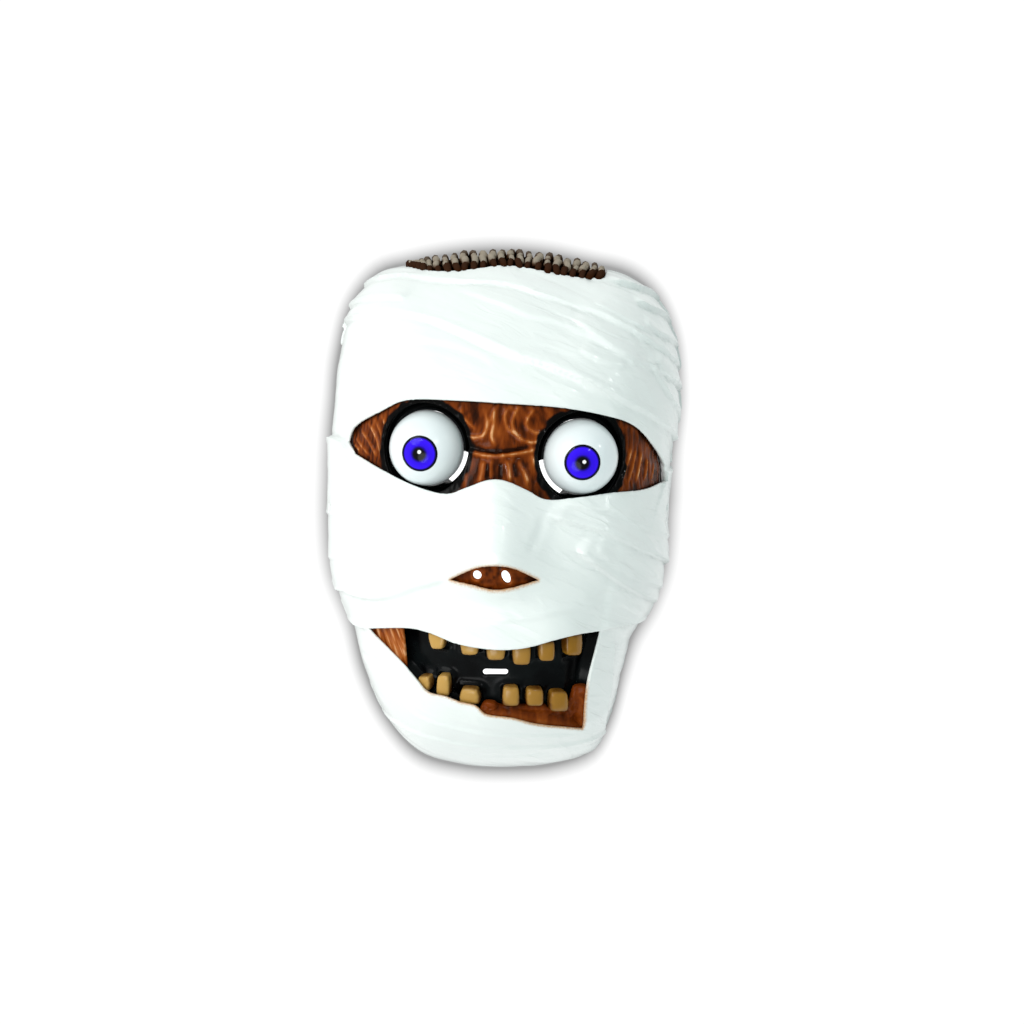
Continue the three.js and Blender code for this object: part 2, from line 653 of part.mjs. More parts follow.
function toothBody(tooth) {
  const bevel = { bevelEnabled: true, bevelThickness: toothBevel, bevelSize: toothBevel, bevelOffset: -toothBevel };
  const depth = mouthDepth - toothGap - toothInset - 2 * toothBevel;
  const geometry = new THREE.ExtrudeGeometry(new THREE.Shape(toothLoop(tooth, 0)), { ...bevel, depth, bevelSegments: 1 });
  geometry.translate(0, 0, toothBevel + toothGap - mouthDepth);
  const position = geometry.attributes.position;
  for (let k = 0; k < position.count; k++) {
    const [u, v, z] = [position.getX(k), position.getY(k), position.getZ(k)];
    position.setXYZ(k, ...formed(u, v, -z).toArray());
  }
  return solid(geometry);
}

// The black pan behind the mouth window, glued under the bandages by the edge of its wall.
function mouthPlate() {
  const inside = behindWindow(mouthWindow, mouthMargin);
  const outside = behindWindow(mouthWindow, mouthMargin + plateWall);
  const pan = patch(outside, skinTop, mouthDepth + plateWall)
    .subtract(patch(inside, keepOut, mouthDepth))
    .subtract(cheekSheet(seatGap, edgeGap, keepOut, skinBase + seatGap));
  return form(pan).subtract(shellRoom).subtract(breathingSlot());
}

function breathingSlot() {
  const half = (slotLength - slotWidth) / 2;
  const shape = new THREE.Shape()
    .absarc(half, 0, slotWidth / 2, -Math.PI / 2, Math.PI / 2)
    .absarc(-half, 0, slotWidth / 2, Math.PI / 2, (3 * Math.PI) / 2);
  const geometry = new THREE.ExtrudeGeometry(shape, { depth: 2 * throughAll, bevelEnabled: false, curveSegments: 4 });
  return solid(geometry.translate(slotAcross * halfWidth, slotAlong * halfLength, 0));
}

// The gum in the mouth window's lower right corner, with the teeth's places cut out.
function lipSkin() {
  const edge = flatLine(gumEdge);
  const below = edge.map((p) => new THREE.Vector2(p.x, p.y - halfLength)).reverse();
  const base = mouthDepth - seatGap;
  const gum = patch(behindWindow(mouthWindow, mouthMargin - seatGap), base - lipHeight, base)
    .intersect(block([...edge, ...below]))
    .subtract(toothBlocks(edgeGap));
  return form(gum);
}

// The hair: rows of curls on a scalp that runs on under the top wrap.
function scalp() {
  const edge = flatLine(hairEdge);
  const line = new THREE.SplineCurve(edge);
  const inset = seatGap / line.getLength();
  const place = (i, j) => {
    const start = line.getPointAt(inset + i * (1 - 2 * inset));
    const turn = start.angle();
    const [near, far] = [start.length() + 1.2 * seatGap, rimReach(turn) + skirt];
    return start.setLength(near + j * (far - near));
  };
  const wave = (share) => (1 - Math.cos(2 * Math.PI * share)) / 2;
  const height = (i, j) => -curlRise * (0.35 + 0.65 * wave(i * curlColumns));
  const curls = gridSheet(2 * curlColumns, curlRows, place, height, () => skinBase);
  const seam = [
    ...edge.map((p) => p.clone().setLength(p.length() - scalpFlange)),
    ...edge.map((p) => p.clone().setLength(p.length() + scalpFlange)).reverse(),
  ];
  return form(patch(seam, skinTop, skinBase - edgeGap)).subtract(shellRoom).add(form(curls));
}

const colours = {
  bandage: { color: 0xf4f6f3, roughness: 0.3 },
  skin: { color: 0x6b2c0e, roughness: 0.35 },
  black: { color: 0x0a0a0b, roughness: 0.25 },
  eye: { color: 0xf6f7f7, roughness: 0.12 },
  iris: { color: 0x2c12c8, roughness: 0.15 },
  tooth: { color: 0xa8803c, roughness: 0.3 },
  hair: { color: 0x4a3222, roughness: 0.55 },
};

// A named mesh of the mask.
function piece(name, body, colour) {
  const geometry = toCreasedNormals(geometryOf(body), 0.6);
  const mesh = new THREE.Mesh(geometry, new THREE.MeshStandardMaterial(colours[colour]));
  mesh.name = name;
  return mesh;
}

const mask = new THREE.Group();
mask.add(piece("bandage_shell", bandageShell(), "bandage"));
mask.add(piece("scalp", scalp(), "hair"));
mask.add(piece("eye_skin", eyeSkin(), "skin"));
for (const eye of eyes) {
  mask.add(piece(`eye_socket_${eye.side}`, eyeSocket(eye), "black"));
  mask.add(piece(`eyeball_${eye.side}`, eyeball(eye), "eye"));
  mask.add(piece(`iris_${eye.side}`, iris(eye), "iris"));
}
mask.add(piece("nose_skin", noseSkin(), "skin"));
mask.add(piece("mouth_plate", mouthPlate(), "black"));
mask.add(piece("cheek_skin", cheekSkin(), "skin"));
mask.add(piece("lip_skin", lipSkin(), "skin"));
for (const tooth of teeth) mask.add(piece(tooth.name, toothBody(tooth), "tooth"));

export default mask;
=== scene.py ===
# %% [markdown]
# # A moulded mummy mask
# The real thing is a hard plastic mask: white bandages over a brown, wrinkled face, with two round eyes
# that bulge out of black sockets, ochre teeth in front of a black plate, and curly hair at the top.
# This lesson dresses the plain solids of that mask. The face looks up along +Z and the hair is at +Y.

# %% The fixed frame
import math

import bpy
import numpy as np
from mathutils import Matrix, Vector


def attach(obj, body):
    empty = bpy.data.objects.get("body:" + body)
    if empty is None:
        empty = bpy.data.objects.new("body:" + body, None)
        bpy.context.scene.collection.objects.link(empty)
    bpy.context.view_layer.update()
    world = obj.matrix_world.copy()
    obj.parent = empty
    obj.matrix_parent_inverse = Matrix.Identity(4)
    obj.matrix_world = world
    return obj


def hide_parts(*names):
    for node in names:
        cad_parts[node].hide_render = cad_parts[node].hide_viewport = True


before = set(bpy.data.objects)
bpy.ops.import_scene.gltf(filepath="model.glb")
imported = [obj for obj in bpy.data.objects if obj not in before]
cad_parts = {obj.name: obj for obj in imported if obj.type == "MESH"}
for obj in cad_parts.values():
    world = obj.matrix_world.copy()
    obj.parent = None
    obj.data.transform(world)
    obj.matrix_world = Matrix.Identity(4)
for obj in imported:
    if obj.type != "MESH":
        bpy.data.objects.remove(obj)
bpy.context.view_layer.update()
MM = 0.001

# %% [markdown]
# ## The shape of the face
# Every sheet of the mask is the same curved face at some depth, so the curve is written once. The rim is
# a smooth line through a few points, the face is a rounded box over it, and a few soft bumps make the
# brow, the nose, the cheeks and the chin. These are the sizes that the solids have, in millimetres.

# %% Sizes of the mask
HALF_WIDTH, HALF_LENGTH, FACE_DEPTH = 95.0, 139.5, 82.0
SKIRT = 50.0  # how much further the flat pattern reaches than the rim
SHELL = 1.8  # wall of the white shell
SKIN_TOP, SKIN_BASE = 3.1, 4.9  # depth of the brown skin under the face
MOUTH_DEPTH, PLATE = 10.5, 2.0
BALL, BALL_SINK, SOCKET, SOCKET_WALL, SOCKET_DROP = 20.25, 4.0, 24.5, 2.0, 7.5
IRIS, IRIS_THICK, IRIS_GAP = 9.5, 1.0, 0.3
HOLE, HOLE_HEIGHT = 2.0, 14.0  # radius of the two small holes at the sides, and how high they are

HALVES = np.array((HALF_WIDTH, HALF_LENGTH))
FINE, COARSE = 0, 1  # which of a sheet's two cell sizes a render takes

# The rim and every line below are given by points, as shares of half the width and half the length.
OUTLINE = (
    ".93 0, .945 .2, .98 .45, .955 .64, .855 .805, .7 .895, .46 .935, .23 .967, 0 .979, -.27 .968, "
    "-.51 .938, -.7 .9, -.855 .775, -.935 .58, -.965 .38, -.99 .15, -.995 -.04, -.965 -.24, -.86 -.43, "
    "-.79 -.62, -.665 -.8, -.48 -.94, -.235 -.99, .03 -1, .3 -.983, .5 -.925, .595 -.81, .66 -.64, "
    ".72 -.5, .82 -.38, .895 -.24, .92 -.11"
)
RELIEF = {  # across, along, wide, tall, height in mm
    "brow": (0, .43, .7, .17, 2.46), "left eye": (-.43, .22, .27, .15, -7),
    "right eye": (.43, .19, .27, .15, -7), "nose bridge": (-.05, .06, .19, .17, 7.2),
    "nose ridge": (-.045, -.11, .23, .14, 9.9), "nose tip": (-.05, -.24, .24, .12, 9.9),
    "left cheek": (-.62, -.1, .22, .16, 2.87), "right cheek": (.6, -.12, .22, .16, 2.87),
    "lips": (-.05, -.56, .4, .14, 4.1), "chin": (0, -.83, .28, .12, 7.38),
}

# %% From the flat pattern to the face


def placed(text):
    """The points of a line, in mm."""
    return np.array([pair.split() for pair in text.split(",")], float) * HALVES


rim_points = placed(OUTLINE)
rim_turn = np.arctan2(rim_points[:, 1], rim_points[:, 0])
order = np.argsort(rim_turn)
rim_turn, rim_far = rim_turn[order], np.hypot(*rim_points.T)[order]
LAPS = np.concatenate([rim_turn - 2 * np.pi, rim_turn, rim_turn + 2 * np.pi])
FARS = np.tile(rim_far, 3)


def rim_reach(turn):
    """Distance from the middle to the rim, smooth through the outline's points."""
    k = np.searchsorted(LAPS, turn, side="right")
    span = LAPS[k] - LAPS[k - 1]
    s = (turn - LAPS[k - 1]) / span
    slope_a = span * (FARS[k] - FARS[k - 2]) / (LAPS[k] - LAPS[k - 2])
    slope_b = span * (FARS[k + 1] - FARS[k - 1]) / (LAPS[k + 1] - LAPS[k - 1])
    return ((2 * s**3 - 3 * s**2 + 1) * FARS[k - 1] + (s**3 - 2 * s**2 + s) * slope_a
            + (3 * s**2 - 2 * s**3) * FARS[k] + (s**3 - s**2) * slope_b)


def share_out(x, y):
    """How far out a point is, 0 in the middle and 1 at the rim."""
    return np.hypot(x, y) / rim_reach(np.arctan2(y, x))


def left_over(x, y):
    """1 in the middle of the face and 0 at the rim."""
    turn = np.arctan2(y, x)
    return np.maximum(0, 1 - share_out(x, y) ** (2.4 * np.cos(turn) ** 2 + 3.2 * np.sin(turn) ** 2))


def bumps(x, y):
    total = 0
    for across, along, wide, tall, rise in RELIEF.values():
        p, q = (x / HALF_WIDTH - across) / wide, (y / HALF_LENGTH - along) / tall
        total = total + rise * np.exp(-p**2 - q**2)
    return total * (1 - np.minimum(1, share_out(x, y)) ** 8)


def face_height(x, y):
    return FACE_DEPTH * np.sqrt(left_over(x, y)) + bumps(x, y)


def outward(x, y, step=0.4):
    """The direction in which the face looks at (x, y)."""
    c = np.sqrt(left_over(x, y))

    def slope(f, dx, dy):
        return (f(x + dx, y + dy) - f(x - dx, y - dy)) / (2 * step)

    n = np.stack([-0.5 * FACE_DEPTH * slope(left_over, step, 0) - c * slope(bumps, step, 0),
                  -0.5 * FACE_DEPTH * slope(left_over, 0, step) - c * slope(bumps, 0, step), c], -1)
    return n / np.linalg.norm(n, axis=-1, keepdims=True)


def formed(u, v, w):
    """Points of the face for places (u, v) on the flat pattern and depths w under the face."""
    u, v, w = np.broadcast_arrays(np.asarray(u, float), v, w)
    turn = np.arctan2(v, u)
    share = np.hypot(u, v) / (rim_reach(turn) + SKIRT)
    edge = share > 0.9995
    reach = np.where(edge, 0.9999, np.sin(np.minimum(share, 1) * np.pi / 2)) * rim_reach(turn)
    x, y = reach * np.cos(turn), reach * np.sin(turn)
    n = outward(x, y)
    z = face_height(x, y)
    flat_n = n * (1, 1, 0)
    n = np.where(edge[..., None], flat_n / np.linalg.norm(flat_n, axis=-1, keepdims=True), n)
    x, y = np.where(edge, x / 0.9999, x), np.where(edge, y / 0.9999, y)
    return np.stack([x, y, np.where(edge, 0, z)], -1) - w[..., None] * n


def flat(x, y):
    """Where a point of the face, seen from the front, lies on the flat pattern."""
    turn = np.arctan2(y, x)
    reach = np.arcsin(np.minimum(1, share_out(x, y))) / (np.pi / 2) * (rim_reach(turn) + SKIRT)
    return np.stack([reach * np.cos(turn), reach * np.sin(turn)], -1)


def over(x, y, w):
    """The point of the face under which, w deep, lies what is seen at (x, y)."""
    px, py = x, y
    for _ in range(4):
        n = outward(px, py)
        px, py = x + w * n[..., 0], y + w * n[..., 1]
    return px, py


print("face height in the middle:", round(float(face_height(0.01, 0.01)), 1), "mm")

# %% [markdown]
# ## Curves on the face
# Window edges, folds and wrinkles are all given by a few points as shares of half the width and half the
# length. A curve runs smoothly through them, and what is near it is found by its distance on the flat pattern.

# %% Curves and distances


def smooth(text, step):
    """A smooth curve through points, cut into even short pieces."""
    p = placed(text)
    q = np.vstack([p[0], p, p[-1]])
    t = np.linspace(0, 1, 24, endpoint=False)[:, None]
    parts = []
    for k in range(len(p) - 1):
        a, b, c, d = q[k:k + 4]
        parts.append(0.5 * (2 * b + (c - a) * t + (2 * a - 5 * b + 4 * c - d) * t**2
                            + (3 * b - a - 3 * c + d) * t**3))
    dense = np.vstack([*parts, p[-1:]])
    run = np.concatenate([[0], np.cumsum(np.hypot(*np.diff(dense, axis=0).T))])
    stops = np.linspace(0, run[-1], max(3, int(run[-1] / step) + 1))
    return np.stack([np.interp(stops, run, dense[:, k]) for k in (0, 1)], -1)


def flat_line(text, step=2.5):
    return flat(*smooth(text, step).T)


def rows(table):
    """The rows of a table: some numbers, a colon and the points of a line."""
    for row in table.strip().splitlines():
        numbers, text = row.split(":")
        yield (*map(float, numbers.split()), text)


def flat_loop(curves, step=2.5):
    loop = np.vstack([flat_line(text, step) for text in curves])
    keep = np.hypot(*(loop - np.roll(loop, -1, 0)).T) > 0.3
    return loop[keep]


def near_line(u, v, line):
    """Signed distance to an open line, positive to its left, and the nearest point's place along it, 0 to 1."""
    best, side, along = np.full(np.shape(u), 1e9), np.zeros(np.shape(u)), np.zeros(np.shape(u))
    count = len(line) - 1
    for k in range(count):
        (ax, ay), (bx, by) = line[k], line[k + 1]
        dx, dy = bx - ax, by - ay
        t = ((u - ax) * dx + (v - ay) * dy) / (dx * dx + dy * dy)
        held = np.clip(t, 0, 1)
        gap = np.hypot(u - ax - held * dx, v - ay - held * dy)
        nearer = gap < best - 1e-9
        best = np.where(nearer, gap, best)
        side = np.where(nearer, np.sign(dx * (v - ay) - dy * (u - ax)), side)
        loose = np.where((k == 0) & (t < 0) | (k == count - 1) & (t > 1), t, held)
        along = np.where(nearer, (k + loose) / count, along)
    return best * side, along


def inside_loop(u, v, loop):
    """Distance into a closed outline, negative outside it."""
    best = np.full(np.shape(u), 1e9)
    odd = np.zeros(np.shape(u), bool)
    for (ax, ay), (bx, by) in zip(loop, np.roll(loop, -1, 0)):
        dx, dy = bx - ax, by - ay
        t = np.clip(((u - ax) * dx + (v - ay) * dy) / (dx * dx + dy * dy), 0, 1)
        best = np.minimum(best, np.hypot(u - ax - t * dx, v - ay - t * dy))
        if ay != by:
            odd ^= ((ay > v) != (by > v)) & (u < ax + (v - ay) * dx / dy)
    return np.where(odd, best, -best)


def rim_room(u, v):
    """Distance inside the edge of the flat pattern."""
    return rim_reach(np.arctan2(v, u)) + SKIRT - np.hypot(u, v)


def ease(x):
    x = np.clip(x, 0, 1)
    return x * x * (3 - 2 * x)


def bell(x, width):
    return np.exp(-(x / width) ** 2)


def fading(x, far):
    """1 up to x = 0, and less and less beyond it."""
    return np.exp(-np.maximum(x, 0) / far)


lattice = np.random.default_rng(7).random((64, 64))


def cloud(a, b):
    """Smooth seeded noise, 0 to 1, one lump per unit."""
    i, j = np.floor(a).astype(int), np.floor(b).astype(int)
    s, t = ease(a - i), ease(b - j)
    i, j, k, m = i % 64, j % 64, (i + 1) % 64, (j + 1) % 64
    return ((lattice[i, j] * (1 - s) + lattice[k, j] * s) * (1 - t)
            + (lattice[i, m] * (1 - s) + lattice[k, m] * s) * t)


EYE_WINDOW = [
    "-.885 .257, -.845 .315, -.7 .37, -.545 .413, -.25 .41, 0 .4, .3 .385, .56 .355, .74 .315, "
    ".86 .23, .915 .165",
    ".915 .105, .8 .072, .6 .058, .42 .04, .24 .033, .13 .07, 0 .107, -.1 .107, -.22 .078, -.33 .055, "
    "-.5 .085, -.7 .15, -.85 .21",
]
NOSE_WINDOW = [
    "-.305 -.276, -.17 -.235, -.06 -.226, .06 -.236, .195 -.278",
    ".195 -.278, .07 -.305, -.055 -.318, -.17 -.3",
]
MOUTH_WINDOW = [
    "-.77 -.466, -.55 -.463, -.42 -.482, -.28 -.52, -.14 -.54, 0 -.547, .14 -.537, .28 -.51, "
    ".42 -.487, .54 -.476",
    ".55 -.476, .515 -.57, .475 -.68, .452 -.845",
    ".448 -.854, .207 -.838, .05 -.812, -.1 -.797, -.16 -.762, -.25 -.748, -.33 -.727, -.43 -.71, "
    "-.49 -.668, -.57 -.604, -.655 -.546, -.72 -.502",
]
HAIR_EDGE = "-.565 .935, -.4 .905, -.2 .912, 0 .932, .2 .912, .4 .888, .56 .882"
CHEEK_EDGE = "-.615 -.33, -.594 -.47, -.578 -.6, -.566 -.75"
GUM_EDGE = (
    "-.15 -.8, -.13 -.765, -.06 -.765, -.02 -.785, .06 -.785, .16 -.785, .26 -.785, .36 -.785, "
    ".42 -.755, .455 -.7, .5 -.69"
)

BEYOND = 1.6  # the hair's outline is closed this much further out, beyond the rim
eye_loop, nose_loop, mouth_loop = (flat_loop(w) for w in (EYE_WINDOW, NOSE_WINDOW, MOUTH_WINDOW))
hair_line, cheek_line, gum_line = (flat_line(edge) for edge in (HAIR_EDGE, CHEEK_EDGE, GUM_EDGE))
hair_loop = np.vstack([hair_line, hair_line[::-1] * BEYOND])
print("window edges:", len(eye_loop), len(nose_loop), len(mouth_loop), "points")


# %% [markdown]
# ## Where the eyes are
# Each eyeball sits a little under the face. Its socket faces the way the face does there, and its iris
# looks a little down and to the side.

# %% Places of the eyes
class Eye:
    """Where an eye is and looks, from and to which angle its crescent runs, and its pupil's white dot."""

    def __init__(self, side, across, along, look_across, look_along, slit_from, slit_to, dot):
        x, y = across * HALF_WIDTH, along * HALF_LENGTH
        self.side = side
        self.centre = np.array([x, y, float(face_height(x, y)) - BALL_SINK])
        self.facing = outward(np.float64(x), np.float64(y))
        self.look = np.array([look_across, look_along, math.sqrt(1 - look_across**2 - look_along**2)])
        self.slit = (slit_from, slit_to)
        self.dot = dot


EYES = [
    Eye("left", -.434, .23, -.21, -.17, -56, -6, (0.2, 1.2)),
    Eye("right", .431, .197, .055, -.18, 184, 244, (0.9, 0.7)),
]


def from_axis(points, eye):
    """Distance of points from the line along which an eye's socket faces."""
    gap = points - eye.centre
    return np.linalg.norm(gap - (gap @ eye.facing)[..., None] * eye.facing, axis=-1)


def clear_of_balls(u, v):
    room = 1e9
    for eye in EYES:
        for depth in (0, SHELL):
            room = np.minimum(room, np.linalg.norm(formed(u, v, depth) - eye.centre, axis=-1) - BALL - 0.5)
    return room


for eye in EYES:
    print(eye.side, "eye centre in mm:", eye.centre.round(1))

# %% [markdown]
# ## A sheet cut from the flat pattern
# The shell and the skins are thin sheets with windows in them. A square grid is laid on the flat pattern,
# the cells at the border are cut along it, and the top and the underside are joined by a rounded lip, as
# the edge of a moulded plastic part has.

# %% Sheets
LIP_STEPS = 5  # steps of a sheet's lip, from its top to its underside
CUT_SNAP = 0.12  # share of a cell within which a point is moved onto the cut
AT_RIM = 0.35  # mm within which a border point counts as lying on the rim
PROBE = 0.2  # mm by which the way out of a sheet is felt for


def cut_grid(low, high, cell, distance, at):
    """Places and faces of a square grid where distance is at least at, cut along that line."""
    u, v = np.meshgrid(*(low[k] + cell * np.arange(math.ceil((high[k] - low[k]) / cell) + 1) for k in (0, 1)),
                       indexing="ij")
    d = distance(u, v) - at
    d = np.where(abs(d) < CUT_SNAP * cell, 0, d)
    kept = d >= 0
    number = -np.ones(u.shape, int)
    number[kept] = np.arange(kept.sum())
    cells = np.stack([number[:-1, :-1], number[1:, :-1], number[1:, 1:], number[:-1, 1:]], -1)
    whole = np.all(cells >= 0, -1)
    faces, crossings, cuts = cells[whole].tolist(), {}, []
    for i, j in np.argwhere(np.any(cells >= 0, -1) & ~whole):
        corners = [(i, j), (i + 1, j), (i + 1, j + 1), (i, j + 1)]
        polygon = []
        for a, b in zip(corners, corners[1:] + corners[:1]):
            if d[a] >= 0:
                polygon.append(int(number[a]))
            if d[a] * d[b] < 0:
                p, q = min(a, b), max(a, b)
                if (p, q) not in crossings:
                    crossings[p, q] = int(kept.sum()) + len(cuts)
                    t = d[p] / (d[p] - d[q])
                    cuts.append((u[p] + t * (u[q] - u[p]), v[p] + t * (v[q] - v[p])))
                polygon.append(crossings[p, q])
        if len(polygon) > 2:
            faces.append(polygon)
    return np.vstack([np.stack([u[kept], v[kept]], -1), *cuts]), faces


def field(rule, u, v):
    """What a rule says at places on the flat pattern. It is a function, or one number for all."""
    return rule(u, v) if callable(rule) else np.full(np.shape(u), float(rule))


def sheet(name, low, high, cells, distance, top, base, lip, marks, to_rim=False):
    """A closed sheet between two depths, with a rounded lip. marks are what to store on its points."""
    def room(u, v):
        inner = distance(u, v)
        return np.minimum(inner, rim_room(u, v) + lip) if to_rim else inner

    places, faces = cut_grid(low, high, cells[FINE], room, lip)
    used = np.unique(np.concatenate(faces))
    renumber = -np.ones(len(places), int)
    renumber[used] = np.arange(len(used))
    faces = [renumber[f].tolist() for f in faces]
    directed = {(a, b) for f in faces for a, b in zip(f, f[1:] + f[:1])}
    border = [(a, b) for a, b in directed if (b, a) not in directed]
    ring = np.unique(border)
    slot = {int(k): n for n, k in enumerate(ring)}
    u, v = places[used].T.copy()
    at_rim = np.zeros(len(u), bool)
    if to_rim:
        at_rim[ring] = rim_room(u[ring], v[ring]) < AT_RIM
        turn = np.arctan2(v[at_rim], u[at_rim])
        reach = rim_reach(turn) + SKIRT
        u[at_rim], v[at_rim] = reach * np.cos(turn), reach * np.sin(turn)
    ru, rv, still = u[ring], v[ring], at_rim[ring]
    du = room(ru + PROBE, rv) - room(ru - PROBE, rv)
    dv = room(ru, rv + PROBE) - room(ru, rv - PROBE)
    size = np.maximum(np.hypot(du, dv), 1e-6)
    du, dv = np.where(still, 0, -du / size), np.where(still, 0, -dv / size)
    high_w, low_w = field(top, u, v), field(base, u, v)
    layers = [(u, v, high_w)]
    for step in range(1, LIP_STEPS):
        angle = np.pi * step / LIP_STEPS
        out = lip * np.sin(angle)
        w = high_w[ring] + (low_w[ring] - high_w[ring]) * (1 - np.cos(angle)) / 2
        layers.append((ru + out * du, rv + out * dv, w))
    under = len(u) + (LIP_STEPS - 1) * len(ring)
    layers.append((u, v, low_w))
    between = [len(u) + k * len(ring) + np.arange(len(ring)) for k in range(LIP_STEPS - 1)]
    rings = [part.tolist() for part in (ring, *between, under + ring)]
    made = faces + [[under + k for k in reversed(f)] for f in faces]
    for a, b in border:
        i, j = slot[a], slot[b]
        made += [[upper[i], lower[i], lower[j], upper[j]] for upper, lower in zip(rings, rings[1:])]
    marked = {key: np.concatenate([field(rule, *layer[:2]) for layer in layers]) for key, rule in marks.items()}
    return mesh_piece(name, np.vstack([formed(*layer) for layer in layers]), made, marked)


def shown(name, data):
    """A new object that is in the scene."""
    made = bpy.data.objects.new(name, data)
    bpy.context.scene.collection.objects.link(made)
    return made


def mesh_piece(name, points, faces, marks=None, sharp=50):
    """A piece from points in mm, with what marks say stored on its points."""
    mesh = bpy.data.meshes.new(name)
    mesh.from_pydata((np.asarray(points) * MM).tolist(), [], faces)
    mesh.validate()
    mesh.shade_smooth()
    mesh.set_sharp_from_angle(angle=math.radians(sharp))
    for key, values in (marks or {}).items():
        mesh.attributes.new(key, "FLOAT", "POINT").data.foreach_set("value", np.asarray(values, np.float32))
    return shown(name, mesh)


def finished(made, finish, slot, *nodes):
    """Gives a piece its material and its place in the mask. The slot is not used."""
    made.data.materials.clear()
    made.data.materials.append(finish)
    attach(made, "root")
    if nodes:
        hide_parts(*nodes)
    print(made.name, "has", len(made.data.polygons), "faces")


# %% [markdown]
# ## Writing materials
# A material is a tree of nodes. The small classes below let the sums in it be written as plain Python, and
# a Finish is one glossy or matt material that any node can be added to.

# %% Shader sums
class Sum:
    """An output of a node. Sums with it make new nodes."""

    def __init__(self, nodes, socket):
        self.nodes, self.socket = nodes, socket

    def with_(self, operation, *values):
        return self.nodes.node("ShaderNodeMath", dict(enumerate(values)), operation=operation)

    def __add__(self, other): return self.with_("ADD", self, other)
    def __radd__(self, other): return self.with_("ADD", other, self)
    def __sub__(self, other): return self.with_("SUBTRACT", self, other)
    def __rsub__(self, other): return self.with_("SUBTRACT", other, self)
    def __mul__(self, other): return self.with_("MULTIPLY", self, other)
    def __rmul__(self, other): return self.with_("MULTIPLY", other, self)
    def __truediv__(self, other): return self.with_("DIVIDE", self, other)
    def __rtruediv__(self, other): return self.with_("DIVIDE", other, self)
    def __pow__(self, other): return self.with_("POWER", self, other)
    def size(self): return self.with_("ABSOLUTE", self)
    def most(self, other): return self.with_("MAXIMUM", self, other)
    def least(self, other): return self.with_("MINIMUM", self, other)

    def between(self, low, high):
        """0 below low and 1 above high, with a soft step between them."""
        return self.nodes.node("ShaderNodeMapRange", {0: self, 1: low, 2: high, 3: 0.0, 4: 1.0},
                               interpolation_type="SMOOTHSTEP")


def paint(red, green, blue):
    """A colour given as it looks on a screen, 0 to 255."""
    shares = (c / 255 for c in (red, green, blue))
    return (*(((c + 0.055) / 1.055) ** 2.4 if c > 10 / 255 else c / 12.92 for c in shares), 1)


class Nodes:
    """A tree of nodes, of a material, the sky or the curls."""

    def __init__(self, tree):
        self.tree = tree

    def node(self, kind, values=None, out=0, **settings):
        """Adds a node. values are for its inputs, and out is the output that is wanted."""
        made = self.tree.nodes.new(kind)
        for key, value in settings.items():
            setattr(made, key, value)
        for key, value in (values or {}).items():
            self.set(made.inputs[key], value)
        return Sum(self, made.outputs[out]) if made.outputs else None

    def set(self, socket, value):
        if isinstance(value, Sum):
            self.tree.links.new(value.socket, socket)
        else:
            socket.default_value = value

    def mix(self, share, first, second):
        return self.node("ShaderNodeMix", {0: share, 6: first, 7: second}, out=2, data_type="RGBA")

    def ramp(self, share, *stops):
        """A colour that runs through stops, each a share and the colour there."""
        made = self.node("ShaderNodeValToRGB", {0: share})
        elements = made.socket.node.color_ramp.elements
        while len(elements) < len(stops):
            elements.new(0.5)
        for element, (place, *colour) in zip(elements, stops):
            element.position, element.color = place, paint(*colour)
        return made

    def part(self, vector, axis=0):
        return self.node("ShaderNodeSeparateXYZ", {0: vector}, out=axis)


class Finish(Nodes):
    """A material, made of one Principled shader."""

    def __init__(self, name, **fixed):
        self.material = bpy.data.materials.new(name)
        self.material.use_nodes = True
        super().__init__(self.material.node_tree)
        for key, value in fixed.items():
            self.feed(key.replace("_", " "), value)

    def feed(self, name, value):
        self.set(self.tree.nodes["Principled BSDF"].inputs[name], value)

    def place(self):
        return self.node("ShaderNodeTexCoord", out=3)

    def mark(self, name):
        """What is stored under a name on the piece's points."""
        return self.node("ShaderNodeAttribute", out=2, attribute_name=name)

    def stretched(self, scale, turn=(0, 0, 0)):
        """The place, turned first and then stretched along the turned axes."""
        turned_place = self.node("ShaderNodeMapping", {0: self.place(), 2: turn})
        return self.node("ShaderNodeMapping", {0: turned_place, 3: scale})

    def noise(self, scale, detail=3.0, rough=0.55, at=None, twist=0.0):
        return self.node("ShaderNodeTexNoise", {"Vector": at or self.place(), "Scale": scale, "Detail": detail,
                                                "Roughness": rough, "Distortion": twist})

    def bump(self, height, distance, strength=1.0):
        """A fine relief, distance in metres."""
        self.feed("Normal", self.node("ShaderNodeBump", {
            "Strength": strength, "Distance": distance, "Height": height}))


# %% [markdown]
# ## The white bandages
# The bandages are moulded, not cloth: a glossy white sheet with soft steps where one wrap lies over the
# next, and long shallow folds that run with the wraps. Each step is a line with a height on its left that
# fades away with distance. The painter's brown has drifted a little over the edges of the windows.

